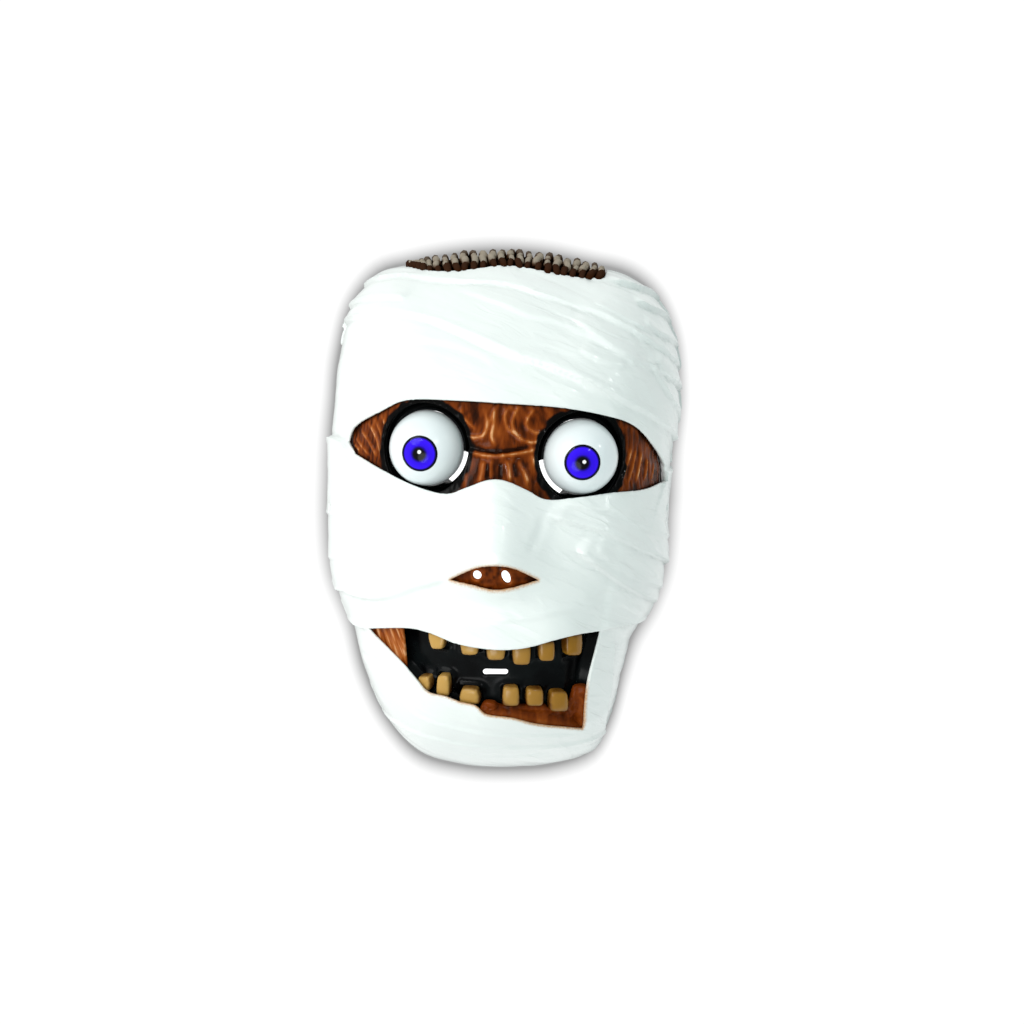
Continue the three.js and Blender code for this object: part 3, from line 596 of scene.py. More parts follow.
# %% Wraps and folds
# A wrap's edge is at least 1.9 mm soft, because a much narrower one would step from cell to cell of the sheet.
# Each row: height in mm, how far it fades, how soft its edge is, and the line.
WRAPS = """
1.25 30 1.9: -.8 .86, -.6 .885, -.425 .872, -.28 .862, 0 .853, .205 .812, .4 .768, .6 .72, .86 .612, .97 .55
.7 14 1.9: -.27 .838, -.02 .776, .15 .728, .375 .689, .69 .573, .93 .5
1.5 34 1.9: -1.0 .69, -.9 .715, -.684 .75, -.45 .725, -.28 .682, .034 .589, .494 .47, .8 .36, .99 .27
.8 16 1.9: -.2 .647, .05 .575, .3 .53, .55 .44, .75 .37
1.1 10 1.9: .8 .57, .86 .5, .95 .4, 1.0 .34
.9 7 1.9: .38 .72, .5 .66, .62 .6, .74 .54
.8 6 1.9: .42 .6, .52 .565, .68 .53
.8 7 1.9: .5 .78, .68 .715, .84 .66
1.2 22 1.9: -1.0 -.3, -.9 -.318, -.77 -.351, -.62 -.343, -.5 -.312, -.38 -.29, -.32 -.272
.45 14 2.2: -1.0 -.02, -.8 -.06, -.6 -.08, -.42 -.08
.4 12 2.2: -.98 -.19, -.8 -.215, -.6 -.2, -.45 -.17
1.7 16 1.9: .25 -.03, .322 -.052, .552 -.097, .81 -.175, .98 -.23
1.6 12 1.9: .4 -.15, .43 -.175, .55 -.24, .66 -.295, .78 -.34, .9 -.37
1.0 8 1.9: .5 -.155, .62 -.22, .76 -.28, .9 -.31
.8 10 1.9: .3 .01, .45 -.01, .62 -.03, .82 -.09, .95 -.12
1.6 38 1.9: -1.0 -.4, -.9 -.43, -.8 -.462, -.77 -.467
1.6 38 1.9: .54 -.474, .6 -.462, .72 -.445, .8 -.42, .9 -.38
.4 9 2.0: -.5 -.37, -.3 -.42, -.1 -.44, .15 -.43, .35 -.4, .6 -.4
.8 9 1.9: .5 -.97, .565 -.86, .6 -.7, .62 -.58, .63 -.5
.6 18 2.2: .7 -.78, .6 -.845, .4 -.905, -.02 -.918, -.42 -.88, -.675 -.795, -.8 -.7
.45 9 1.9: .42 -.875, .2 -.875, -.05 -.87, -.3 -.84, -.5 -.79, -.62 -.7
1.6 9 1.9: -.98 .76, -.83 .786, -.7 .8, -.55 .795
1.8 30 1.9: -.86 .19, -.9 .262, -1.05 .285
2.0 7 1.9: .66 .86, .8 .83, .98 .79
2.0 7 1.9: .74 .79, .86 .75, 1.05 .7
1.8 7 1.9: .78 .7, .88 .655, 1.08 .6
2.0 8 1.9: .84 .56, .92 .5, 1.1 .43
1.2 16 1.9: 1.1 .18, .93 .15, .9 .1
"""
# Along these lines a pull in the plastic runs, as a shallow groove.
# Each row: depth and width in mm, and the line.
PULLS = """
.35 2.4: -.75 .6, -.5 .63, -.25 .6, .05 .5
.3 2.2: -.9 .5, -.6 .53, -.3 .52
.35 2.2: .08 .63, .3 .59, .5 .52
.35 1.8: .2 .76, .36 .715, .5 .665
.3 1.8: .52 .83, .66 .8, .76 .76
.4 2.0: .62 -.36, .72 -.4, .84 -.42
.35 2.0: .55 -.3, .68 -.355, .82 -.385
.35 2.2: -.35 -.12, -.2 -.05, -.17 .02
.3 2.4: .12 -.2, .2 -.1, .23 .0
.3 2.2: -.85 -.55, -.7 -.6, -.6 -.68
.3 2.2: .3 -.93, .1 -.95, -.15 -.95
"""

AT_EDGE = 0.93  # share of the way out beyond which a wrap runs on over the rim
BOLDER = 1.25  # how many times higher than in its row a wrap is made
EDGE_ROLL, EDGE_GROOVE = 0.3, 0.22  # share of a wrap's height that its edge rises and dips
wrap_lines = []
for height, fade, soft, text in rows(WRAPS):
    from_rim, to_rim = (share_out(*placed(text)[k]) > AT_EDGE for k in (0, -1))
    wrap_lines.append((height, fade, soft, flat_line(text, 5), from_rim, to_rim))
pull_lines = [(depth, width, flat_line(text, 5)) for depth, width, text in rows(PULLS)]
print("wraps:", len(wrap_lines), "pulls:", len(pull_lines))


def bandage_rise(u, v):
    """How far the bandages stand above the plain face."""
    rise = 0.0
    for height, fade, soft, line, from_rim, to_rim in wrap_lines:
        d, along = near_line(u, v, line)
        ends = (1 if from_rim else ease((along + 0.02) / 0.12)) * (1 if to_rim else ease((1.02 - along) / 0.12))
        step = ease((d + soft / 2) / soft) * fading(d, fade) * (1 + EDGE_ROLL * bell(d - 1.6, 1.5))
        rise = rise + BOLDER * height * ends * (step - EDGE_GROOVE * bell(d + 1.6, 1.3))
    for depth, width, line in pull_lines:
        d, along = near_line(u, v, line)
        ends = ease(along / 0.25) * ease((1 - along) / 0.25)
        rise = rise - depth * ends * (bell(d, width) - 0.5 * bell(abs(d) - 1.7 * width, width))
    # The small folds: long lumps that run with the wraps and stand higher at the right.
    lean, run = 0.42 * u + v + 0.0016 * (u + 40) ** 2, u - 0.4 * v
    folds = cloud(lean / 6.5 + 9, run / 46 + 5) + 0.5 * cloud(lean / 3.1 + 31, run / 30 + 11)
    rise = rise + 0.8 * (folds - 0.75) * (0.45 + 0.55 * ease((u + 60) / 120))
    return np.clip(rise, -0.7, 3.2)


def shell_distance(u, v):
    """Distance inside the shell from its windows, the two small holes and the balls."""
    points = formed(u, v, 0)
    room = np.hypot(points[..., 1], points[..., 2] - HOLE_HEIGHT) - HOLE
    for loop in (eye_loop, nose_loop, mouth_loop, hair_loop):
        room = np.minimum(room, -inside_loop(u, v, loop))
    return np.minimum(room, clear_of_balls(u, v))


def overspray(u, v):
    """Brown drift of paint round the nose and under the mouth, and a little at the eye window."""
    nose = fading(-inside_loop(u, v, nose_loop), 1.9)
    mouth = fading(-inside_loop(u, v, mouth_loop), 1.9) * ease((-v - 84) / 22)
    return np.maximum(np.maximum(nose, mouth), 0.35 * fading(-inside_loop(u, v, eye_loop), 0.8))


bandages = sheet("bandages", (-147, -192), (147, 192), (1.3, 2.2), shell_distance,
                 lambda u, v: -bandage_rise(u, v), SHELL, 0.9, {"drift": overspray}, to_rim=True)

# %% White plastic
white = Finish("white bandage plastic", Specular_IOR_Level=0.45, Coat_Weight=0.25, Coat_Roughness=0.1)
drift = white.mark("drift")
speckle = white.noise(900, 4)
brown_share = (drift * (0.55 + speckle * 0.9)).between(0.32, 1.1)
tone = white.noise(14, 3)
cool = white.mix(tone, paint(229, 236, 234), paint(238, 243, 241))
white.feed("Base Color", white.mix(brown_share, cool, paint(192, 148, 104)))
white.feed("Roughness", 0.24 + white.noise(60, 4) * 0.12)
gauze = white.noise(220, 5, 0.6, at=white.stretched((1, 2.6, 1), (0, 0, 0.35)))
wave = white.noise(26, 2, 0.5, at=white.stretched((1, 4.2, 1), (0, 0, 0.4)), twist=0.3)
crease = 1 - ((wave - 0.5).size() * 14.0).least(1.0)
right_side = white.part(white.place()).between(-0.045, 0.04)
white.bump(gauze * 0.3 + crease * (right_side * 0.5 + 0.06) + wave * (right_side * 2.0 + 1.2), 0.0006, 0.6)
finished(bandages, white.material, "bandage_plastic", "bandage_shell")

# %% [markdown]
# ## The brown skin
# Behind the windows lies wrinkled brown skin. Its wrinkles are modelled: a table of ridge lines round the
# bridge of the nose and at the corners of the eyes, with finer grooves between them. An attribute with the
# height makes the brown darker in the grooves and lighter on the ridges: partly paint that pools in the
# grooves, partly painted shade in the grooves and a painted highlight on the ridges.

# %% Wrinkles
# Each row: height and width in mm, and the line.
RIDGES = """
.9 1.0: -.34 .385, -.30 .35, -.26 .305, -.2 .27, -.12 .28, -.1 .32, -.11 .375
.7 .8: -.24 .385, -.245 .355, -.2 .32, -.165 .3
1.0 .9: -.055 .395, -.06 .33, -.075 .275, -.05 .245
.9 .9: .02 .385, .005 .345, .03 .3, .09 .28
.9 .9: .085 .39, .06 .36, .05 .315, .09 .27, .16 .25, .24 .255
.7 .8: .18 .385, .14 .345, .13 .315, .19 .285, .27 .29
.9 .9: -.25 .225, -.12 .205, .0 .205, .13 .215, .21 .23
-.9 .8: -.22 .24, -.1 .222, .02 .222, .14 .232
.9 1.1: -.12 .185, -.135 .14, -.15 .1
.8 .9: -.075 .19, -.08 .145, -.075 .115
.8 1.0: .02 .19, .035 .15, .045 .11
.8 1.0: .09 .185, .12 .145, .15 .1
.8 1.0: -.2 .22, -.225 .16, -.26 .09
.7 .9: .165 .2, .2 .15, .21 .1
-.8 .8: -.1 .18, -.11 .12
-.8 .8: -.02 .18, -.02 .12
-.7 .8: .06 .18, .08 .12
.8 .9: -.83 .3, -.78 .25, -.74 .2
.8 .9: -.79 .33, -.74 .27, -.71 .2
.8 .9: -.75 .34, -.71 .28, -.675 .2
.7 .8: -.71 .35, -.675 .29, -.65 .22
.7 .8: -.86 .27, -.83 .24, -.78 .2
.7 .8: -.87 .245, -.84 .222
.8 .9: .68 .1, .715 .16, .74 .22
.8 .9: .725 .1, .75 .16, .77 .22
.8 .9: .77 .1, .79 .16, .8 .21
.8 .8: .815 .1, .83 .14, .835 .19
.7 .8: .86 .11, .87 .14, .875 .17
.8 .9: .64 .09, .67 .14, .69 .18
"""
ridge_lines = [(height, width, flat_line(text, 2)) for height, width, text in rows(RIDGES)]
print("ridges and grooves in the skin:", len(ridge_lines))


def wrinkle_rise(u, v):
    """How far the skin at the eyes stands out in ridges, with fine noise between them."""
    rise = 0.0
    for height, width, line in ridge_lines:
        d, along = near_line(u, v, line)
        ends = ease((along + 0.1) / 0.3) * ease((1.1 - along) / 0.3)
        rise = rise + height * ends * bell(d, width)
    lean = u + 0.25 * v * np.sign(u)
    fine = cloud(lean / 1.7 + 3, v / 7 + 8) - 0.5 + 0.6 * (cloud(lean / 0.95 + 13, v / 4 + 2) - 0.5)
    return np.clip(1.25 * rise + 0.6 * fine, -1.0, 1.7)


def black_paint_and_painted_shade(u, v):
    """Black paint round each socket, with an uneven edge, and painted shade under the window's edge."""
    points = formed(u, v, SKIN_TOP)
    ragged = 2.2 * (cloud(u / 3.4 + 5, v / 3.4 + 7) - 0.5)
    # Painted shade, darker close under the edge of the eye window.
    dark = 0.6 * fading(inside_loop(u, v, eye_loop), 1.6)
    for eye in EYES:
        lower = 1.4 * ease((eye.centre[1] - points[..., 1]) / 20)
        dark = np.maximum(dark, 1 - ease((from_axis(points, eye) - SOCKET - 0.8 + ragged - lower) / 4.2))
    return dark


def eye_skin_distance(u, v):
    points = formed(u, v, SKIN_TOP)
    room = inside_loop(u, v, eye_loop) + 7
    for eye in EYES:
        room = np.minimum(room, from_axis(points, eye) - SOCKET)
    return room


NOSTRILS = [(-.153, -.258, 2.4, 2.4, 20), (.014, -.265, 2.16, 3.45, 25)]  # place, half width and length, turn


def nostril_distance(u, v):
    room = 1e9
    points = formed(u, v, SKIN_TOP)
    for across, along, wide, tall, turn in NOSTRILS:
        x, y = points[..., 0] - across * HALF_WIDTH, points[..., 1] - along * HALF_LENGTH
        cos, sin = math.cos(math.radians(turn)), math.sin(math.radians(turn))
        room = np.minimum(room, (np.hypot((x * cos + y * sin) / wide, (-x * sin + y * cos) / tall) - 1) * wide)
    return room


def nose_distance(u, v):
    return np.minimum(inside_loop(u, v, nose_loop) + 6, nostril_distance(u, v))


def nose_rise(u, v):
    return 0.5 * (cloud(u / 2.2 + 4, v / 1.8 + 6) - 0.5) + 0.5 * bell(nostril_distance(u, v), 1.2)


def cheek_distance(u, v):
    return np.minimum(inside_loop(u, v, mouth_loop) + 6.3, -near_line(u, v, cheek_line)[0])


def cheek_rise(u, v):
    lean = u + 0.55 * v
    return 1.1 * (cloud(lean / 1.9 + 3, (v - 0.4 * u) / 14 + 9) - 0.5) + 0.5 * (cloud(lean / 0.9, v / 8) - 0.5)


eye_skin = sheet("eye_skin_wrinkled", (-125, -6), (125, 76), (0.75, 1.4), eye_skin_distance,
                 lambda u, v: SKIN_TOP - 0.9 * wrinkle_rise(u, v), SKIN_BASE, 0.5,
                 {"ridge": wrinkle_rise, "dark": black_paint_and_painted_shade})
# The nose skin's dark mark is painted shade round the nostrils.
nose_skin = sheet("nose_skin_wrinkled", (-48, -66), (36, -20), (0.6, 1.0), nose_distance,
                  lambda u, v: SKIN_TOP - nose_rise(u, v), SKIN_BASE, 0.5,
                  {"ridge": nose_rise, "dark": lambda u, v: 0.35 * fading(nostril_distance(u, v), 1.2)})
cheek_skin = sheet("cheek_skin_streaked", (-102, -112), (-40, -40), (0.6, 1.0), cheek_distance,
                   lambda u, v: SKIN_TOP - 0.8 * cheek_rise(u, v), SKIN_BASE, 0.6,
                   {"ridge": lambda u, v: 0.8 + cheek_rise(u, v), "dark": 0})

# %% Brown paint
brown = Finish("brown painted skin", Roughness=0.22, Specular_IOR_Level=0.04, Coat_Weight=0.07,
               Coat_Roughness=0.08)
patch = brown.noise(90, 4, at=brown.stretched((1, 0.6, 1)))
grain = brown.noise(240, 3, at=brown.stretched((1, 0.25, 0.6)), twist=0.8)
# Darker in the grooves and lighter on the ridges: partly paint pooled in the grooves, partly painted shade in
# the grooves and a painted highlight on the ridges.
height = (brown.mark("ridge") * 0.5 + patch * 0.6 + grain * 0.5 - 0.26).between(0.0, 1.0)
skin = brown.ramp(height, (0.0, 34, 11, 2), (0.24, 104, 44, 8), (0.6, 138, 67, 20), (0.85, 168, 96, 44),
                  (1.0, 212, 158, 110))
# Nearly black where the dark mark is high: black paint round the sockets, and painted shade under the eye
# window's edge and round the nostrils.
brown.feed("Base Color", brown.mix(brown.mark("dark").between(0.25, 0.75), skin, paint(5, 4, 4)))
brown.bump(brown.noise(700, 4) * 0.1 + grain * 0.8, 0.0005, 0.6)
for made, node in ((eye_skin, "eye_skin"), (nose_skin, "nose_skin"), (cheek_skin, "cheek_skin")):
    finished(made, brown.material, "skin_plastic", node)

# %% [markdown]
# ## Sockets and eyes
# Each socket is a black cup with a crescent that the wearer looks through, and the eyeball in it is a
# glossy white ball, as big as a table tennis ball. Cups and balls are turned from a profile.

# %% Turning a profile


def turn_to(axis):
    return np.array(Vector((0, 0, 1)).rotation_difference(Vector(axis)).to_matrix())


def spun(rings, closed=False):
    """Points and faces round the Z axis. A ring is [(radius, height)] for each step round it."""
    steps = len(rings[0])
    angle = 2 * np.pi * np.arange(steps) / steps
    points, faces, start, lone = [], [], [], []
    for ring in rings:
        r, h = np.array(ring, float).T
        start.append(len(points))
        lone.append(np.all(r < 1e-6))
        points.extend([(0, 0, h[0])] if lone[-1] else zip(r * np.cos(angle), r * np.sin(angle), h))
    pairs = [(k, k + 1) for k in range(len(rings) - 1)] + ([(len(rings) - 1, 0)] if closed else [])
    for a, b in pairs:
        for k in range(steps):
            m = (k + 1) % steps
            if lone[a]:
                faces.append([start[a], start[b] + k, start[b] + m])
            elif lone[b]:
                faces.append([start[a] + k, start[b], start[a] + m])
            else:
                faces.append([start[a] + k, start[b] + k, start[b] + m, start[a] + m])
    return np.array(points), faces


def turned(name, rings, centre, axis, marks=None, closed=False):
    """A piece from rings about an axis through its centre."""
    points, faces = spun(rings, closed)
    values = {key: f(points) for key, f in (marks or {}).items()}
    return mesh_piece(name, points @ turn_to(axis).T + centre, faces, values, sharp=45)


def arc(radius, start, end, pieces):
    a = np.linspace(start, end, pieces + 1)
    return list(zip(radius * np.sin(a), radius * np.cos(a)))


def even(profile, steps):
    return [[point] * steps for point in profile]


STEPS = 96  # steps round a turned piece

# %% Sockets
CUP_TOP = 16.0  # where a wall ends that meets no skin
SNUG, SEEN_PAST = 0.3, 2.3  # room round the ball at the collar, and the width of the crescent
FLOOR_STEPS, WALL_STEPS = 60, 200  # places tried along each spoke of the floor, and up the wall


def socket_rings(eye):
    """A cup: a floor that is open along the crescent, a collar that hugs the ball, a wall up to the skin."""
    turn = turn_to(eye.facing)
    inner, top = np.full(STEPS, math.sqrt((BALL + 0.4) ** 2 - SOCKET_DROP**2)), np.full(STEPS, CUP_TOP)
    heights = np.linspace(-SOCKET_DROP, CUP_TOP, WALL_STEPS)
    start, end = eye.slit
    for k in range(STEPS):
        angle = 2 * np.pi * k / STEPS
        spoke = np.array((math.cos(angle), math.sin(angle), 0))
        radii = np.linspace(inner[k], SOCKET - 0.3, FLOOR_STEPS)
        floor = (radii[:, None] * spoke - (0, 0, SOCKET_DROP)) @ turn.T
        seen = math.degrees(math.atan2(floor[-1, 1], floor[-1, 0]))
        if (seen - start) % 360 < (end - start) % 360:
            far = np.hypot(floor[:, 0], floor[:, 1])
            inner[k] = radii[min(FLOOR_STEPS - 1, int(np.searchsorted(far, BALL + SEEN_PAST)))]
        x, y, z = (((SOCKET + 1) * spoke + heights[:, None] * (0, 0, 1)) @ turn.T + eye.centre).T
        hit = np.nonzero((face_height(x, y) - z) * outward(x, y)[:, 2] < SKIN_BASE + 0.8)[0]
        if len(hit):
            top[k] = heights[hit[0]]

    shut = np.where(inner < BALL, 1.0, 0.0)  # 1 away from the crescent, where the collar is
    floor, wall, outer = -SOCKET_DROP, SOCKET, SOCKET + SOCKET_WALL
    crest = floor + shut * (SOCKET_DROP - 1.0)
    thick = np.minimum(1.4, (SOCKET - inner) / 2)
    snug = np.maximum(inner, shut * (BALL + SNUG))
    profile = [
        (inner, floor - SOCKET_WALL), (outer, floor - SOCKET_WALL), (outer, top), (wall + 0.5, top),
        (wall, top - 0.4), (wall, floor + 1.2), (wall - 0.4, floor + 0.4), (wall - 1.2, floor),
        (snug + thick, floor), (snug + thick * 0.8, crest - 0.3), (snug + thick * 0.4, crest),
        (snug, crest - 0.3), (snug, floor + 1.0 - shut),
    ]
    return [list(zip(np.broadcast_to(r, STEPS), np.broadcast_to(h, STEPS))) for r, h in profile]


black = Finish("black plastic", Specular_IOR_Level=0.08)
smear_and_sheen = black.noise(40, 4)
# Random smears; their lighter blue-grey patches are also a painted sheen.
black.feed("Base Color", black.mix(smear_and_sheen.between(0.35, 0.65), paint(4, 4, 5), paint(15, 19, 20)))
black.feed("Roughness", 0.16 + smear_and_sheen * 0.16)
black.bump(black.noise(500, 3), 0.00008, 0.3)

gloss = Finish("white eye plastic", Specular_IOR_Level=0.45, Coat_Weight=0.2, Coat_Roughness=0.03)
shade = gloss.noise(24, 3)
gloss.feed("Base Color", gloss.mix(shade, paint(226, 236, 239), paint(236, 242, 243)))
gloss.feed("Roughness", 0.18 + gloss.noise(80, 3) * 0.06)

seat, reach = BALL - IRIS_THICK - IRIS_GAP, IRIS + IRIS_GAP  # the shallow seat of the iris in the ball
for eye in EYES:
    cup = turned(f"socket_cup_{eye.side}", socket_rings(eye), eye.centre, eye.facing, closed=True)
    finished(cup, black.material, "black_plastic", f"eye_socket_{eye.side}")
    profile = [(0, seat), *arc(seat, 0.1, math.asin(reach / seat) - 0.02, 5),
               *arc(BALL, math.asin(reach / BALL), 2.05, 40), *reversed(arc(BALL - 2.2, 0.0, 2.05, 24))]
    ball = turned(f"ball_{eye.side}", even(profile, STEPS)[::-1], eye.centre, eye.look)
    finished(ball, gloss.material, "eye_plastic", f"eyeball_{eye.side}")

# %% [markdown]
# ### The irises
# A printed disc: a black outline, a violet blue ring that is darker at its edge, a black pupil and a
# white dot. The distance from the disc's own axis is stored on its points, because the disc is tilted.

# %% Irises
for eye in EYES:
    top = arc(BALL, 0, math.asin(IRIS / BALL) - 0.015, 24)
    rim = [(IRIS, top[-1][1] - 0.15), (IRIS, top[-1][1] - 0.7)]
    under = list(reversed(arc(BALL - IRIS_THICK, 0, math.asin(IRIS / (BALL - IRIS_THICK)) - 0.01, 8)))
    disc = turned(f"iris_disc_{eye.side}", even([*top, *rim, *under], STEPS)[::-1], eye.centre, eye.look,
                  {"out": lambda p: np.hypot(p[:, 0], p[:, 1]) / IRIS,
                   "dot": lambda p: np.hypot(p[:, 0] - eye.dot[0], p[:, 1] - eye.dot[1])})
    printed = Finish(f"printed iris {eye.side}", Roughness=0.12, Specular_IOR_Level=0.12)
    ring = printed.ramp(printed.mark("out"), (0.0, 4, 3, 8), (0.33, 6, 4, 14), (0.4, 24, 8, 116),
                        (0.5, 46, 14, 218), (0.84, 56, 20, 246), (0.9, 24, 8, 124), (0.94, 8, 6, 20),
                        (1.0, 6, 5, 10))
    white_dot = 1 - printed.mark("dot").between(0.75, 1.25)
    printed.feed("Base Color", printed.mix(white_dot, ring, paint(246, 248, 250)))
    finished(disc, printed.material, "iris_print", f"iris_{eye.side}")

# %% [markdown]
# ## The mouth
# Behind the mouth window is a black pan with a breathing slot. Gums bulge out of it round the roots of
# the teeth, and in the lower right corner the gum is painted brown.

# %% Mouth pan
TOOTH_DEPTH, TOOTH_THICK = 3.0, 6.3  # how deep under the face the teeth are placed, and their thickness
JAWS = {  # of each tooth: across, along, half width and half length in mm, narrowing at the free end
    "upper": [
        (-.385, -.503, 4.85, 5.93, .7), (-.196, -.53, 5.4, 5.42, .85), (-.046, -.55, 5.4, 5.42, .9),
        (.101, -.565, 5.15, 5.93, .92), (.245, -.55, 4.6, 5.93, .92), (.406, -.523, 4.7, 6.5, .92),
    ],
    "lower": [
        (-.462, -.68, 3.6, 4.2, .85), (-.35, -.69, 3.8, 5.99, .85), (-.198, -.73, 5.65, 4.45, .82),
        (.04, -.729, 4.85, 5.42, .9), (.178, -.733, 4.85, 4.85, .95), (.316, -.751, 5.4, 5.64, .9),
    ],
}
TEETH = [(f"{jaw}_tooth_{k}", *row) for jaw, teeth in JAWS.items() for k, row in enumerate(teeth, 1)]


def tooth_room(u, v, teeth=TEETH):
    """Distance outside the nearest tooth, on the flat pattern. A tooth is a box with round corners."""
    room, corner = 1e9, 1.5
    for _, across, along, half_w, half_l, _ in teeth:
        cu, cv = flat(*over(across * HALF_WIDTH, along * HALF_LENGTH, TOOTH_DEPTH))
        du, dv = abs(u - cu) - half_w + corner, abs(v - cv) - half_l + corner
        past = np.hypot(np.maximum(du, 0), np.maximum(dv, 0)) + np.minimum(np.maximum(du, dv), 0)
        room = np.minimum(room, past - corner)
    return room


def slot_distance(u, v):
    """Distance outside the breathing slot."""
    points = formed(u, v, MOUTH_DEPTH)
    x, y = points[..., 0] + .048 * HALF_WIDTH, points[..., 1] + .631 * HALF_LENGTH
    return np.hypot(np.maximum(abs(x) - 5.4, 0), y) - 1.35


def pan_depth(u, v):
    """Depth of the pan: flat behind the window, with bulging gums, and a wall up to the bandages."""
    into = inside_loop(u, v, mouth_loop)
    room, lower_left = tooth_room(u, v), tooth_room(u, v, TEETH[6:9])
    # The gums: low ones round all teeth, and higher ones round the three teeth at the lower left.
    gums = (1.6 * bell(np.maximum(room, 0), 2.6) * ease((room + 0.3) / 1.2)
            + 2.0 * bell(np.maximum(lower_left, 0), 2.4) * ease((lower_left - 0.2) / 1.6))
    depth = SKIN_TOP + (MOUTH_DEPTH - SKIN_TOP) * ease((into + 7.6) / 4.6)
    return depth - gums * ease((into + 1) / 4) * ease(slot_distance(u, v) / 1.5)


def pan_distance(u, v):
    return np.minimum(inside_loop(u, v, mouth_loop) + 8.4, slot_distance(u, v))


pan = sheet("mouth_pan", (-104, -146), (74, -48), (1.0, 1.6), pan_distance, pan_depth,
            lambda u, v: pan_depth(u, v) + PLATE, 0.8, {})
finished(pan, black.material, "black_plastic", "mouth_plate")

# %% Gum
GUM_BASE = MOUTH_DEPTH - 1.3
knob_u, knob_v = flat(-.08 * HALF_WIDTH, -.775 * HALF_LENGTH)


def gum_distance(u, v):
    room = np.minimum(inside_loop(u, v, mouth_loop) + 5, -near_line(u, v, gum_line)[0])
    return np.minimum(room, tooth_room(u, v) - 0.3)


def gum_rise(u, v):
    """How far the gum bulges: a knob at its end, a roll along its edge, lumps, and up to the window's edge."""
    knob = np.maximum(0, 1 - ((u - knob_u) / 4.6) ** 2 - ((v - knob_v) / 4.6) ** 2) ** 0.5
    roll = bell(near_line(u, v, gum_line)[0] + 3, 2.6)
    lumps, grit = cloud(u / 5 + 2, v / 3 + 4) - 0.5, cloud(u / 1.7, v / 1.9) - 0.5
    border = ease((2.6 - inside_loop(u, v, mouth_loop)) / 4.5)
    return 2.4 * knob + 0.7 * roll + 1.2 * lumps * (1 - border) + 0.4 * grit + 3.6 * border


gum = sheet("lip_gum", (-16, -146), (64, -100), (0.6, 1.0), gum_distance,
            lambda u, v: np.maximum(SHELL + 0.4, GUM_BASE - 2.6 - gum_rise(u, v)), GUM_BASE, 0.9,
            {"ridge": lambda u, v: 0.02 + 0.12 * gum_rise(u, v), "dark": 0})
finished(gum, brown.material, "skin_plastic", "lip_skin")

# %% [markdown]
# ## Teeth
# Each tooth is a rounded block, a little narrower at its free end, in ochre plastic with random stains. It is
# darker at its root and in its corners, a painted shade, and the teeth at the left are lighter, a painted
# light.

# %% Teeth
ochre = Finish("ochre tooth plastic", Roughness=0.16, Specular_IOR_Level=0.3)
stain = ochre.noise(120, 4)
# Painted light: the teeth at the left of the mouth, nearer the key light, are lighter.
painted_light_from_left = (0.0 - ochre.part(ochre.place()) * 12.0).between(-0.5, 0.5)
enamel_with_painted_light = ochre.mix(painted_light_from_left, paint(144, 100, 24), paint(190, 150, 80))
# Random stains, and painted shade at the corners and the root of each tooth.
stain_and_painted_shade = (ochre.mark("edge") + stain * 1.1).between(0.8, 1.55)
ochre.feed("Base Color", ochre.mix(stain_and_painted_shade, enamel_with_painted_light, paint(84, 46, 10)))
ochre.bump(ochre.noise(160, 3, at=ochre.stretched((2.5, 0.6, 1))), 0.0002, 0.5)

BOXY = 0.42  # the power that presses a ball towards a box


def tooth(name, across, along, half_w, half_l, narrow):
    """A rounded block on the face: a ball pressed towards a box, with its points laid over the face."""
    free = -1 if name.startswith("upper") else 1
    points, faces = spun(even(arc(1, 0, math.pi, 16), 28))
    px, py, pz = (np.sign(points) * abs(points) ** BOXY).T
    taper = 1 - (1 - narrow) * ease((py * free + 0.3) / 1.3)
    x, y = across * HALF_WIDTH + px * half_w * taper, along * HALF_LENGTH + py * half_l
    crown = 0.5 * (1 - px**2) * (1 - 0.5 * py**2) * (pz > 0)
    w = TOOTH_DEPTH + 0.6 + (1 - pz) * TOOTH_THICK / 2 - crown
    # Painted shade: darker towards the corners and at the root.
    edge = 0.75 * np.maximum(abs(px), abs(py)) ** 3 + 0.35 * ease(-py * free)
    points = formed(*flat(*over(x, y, TOOTH_DEPTH)).T, w)
    return mesh_piece(name + "_stained_shaded", points, faces, {"edge": edge}, sharp=80)


for row in TEETH:
    finished(tooth(*row), ochre.material, "tooth_plastic", row[0])

# %% [markdown]
# ## The hair
# The hair is a brown scalp under rows of tight moulded curls. Every curl is the same small arched tube,
# so Geometry Nodes sets one on each point of a net that follows the scalp, with a random size and turn.

# %% Scalp
CURL_ROWS, CURL_COLUMNS = 4, 27
ROW_BROWN = (1.0, 0.25, 0.3, 0.8)  # how brown each row is painted, from the bandages back
CURL_DEPTH, LOWEST_CURL = 0.9, 7.0
FREE_FRONT, FREE_BACK = 1.6, 3.2  # mm of scalp without curls at the bandages and at the rim
scalp_loop = np.vstack([hair_line * 0.96, hair_line[::-1] * BEYOND])


def scalp_distance(u, v):
    return inside_loop(u, v, scalp_loop)


def scalp_depth(u, v):
    d = inside_loop(u, v, hair_loop)
    ribs = 0.18 * np.sin(u / 0.62) * ease(d / 2)
    return SKIN_TOP - np.where(d > 0.4, 2.6 * ease((d - 0.4) / 1.4) + ribs, 0)


scalp = sheet("scalp_base", (-90, 120), (90, 192), (1.1, 1.6), scalp_distance, scalp_depth, SKIN_BASE, 0.6,
              {"lift": 0}, to_rim=True)

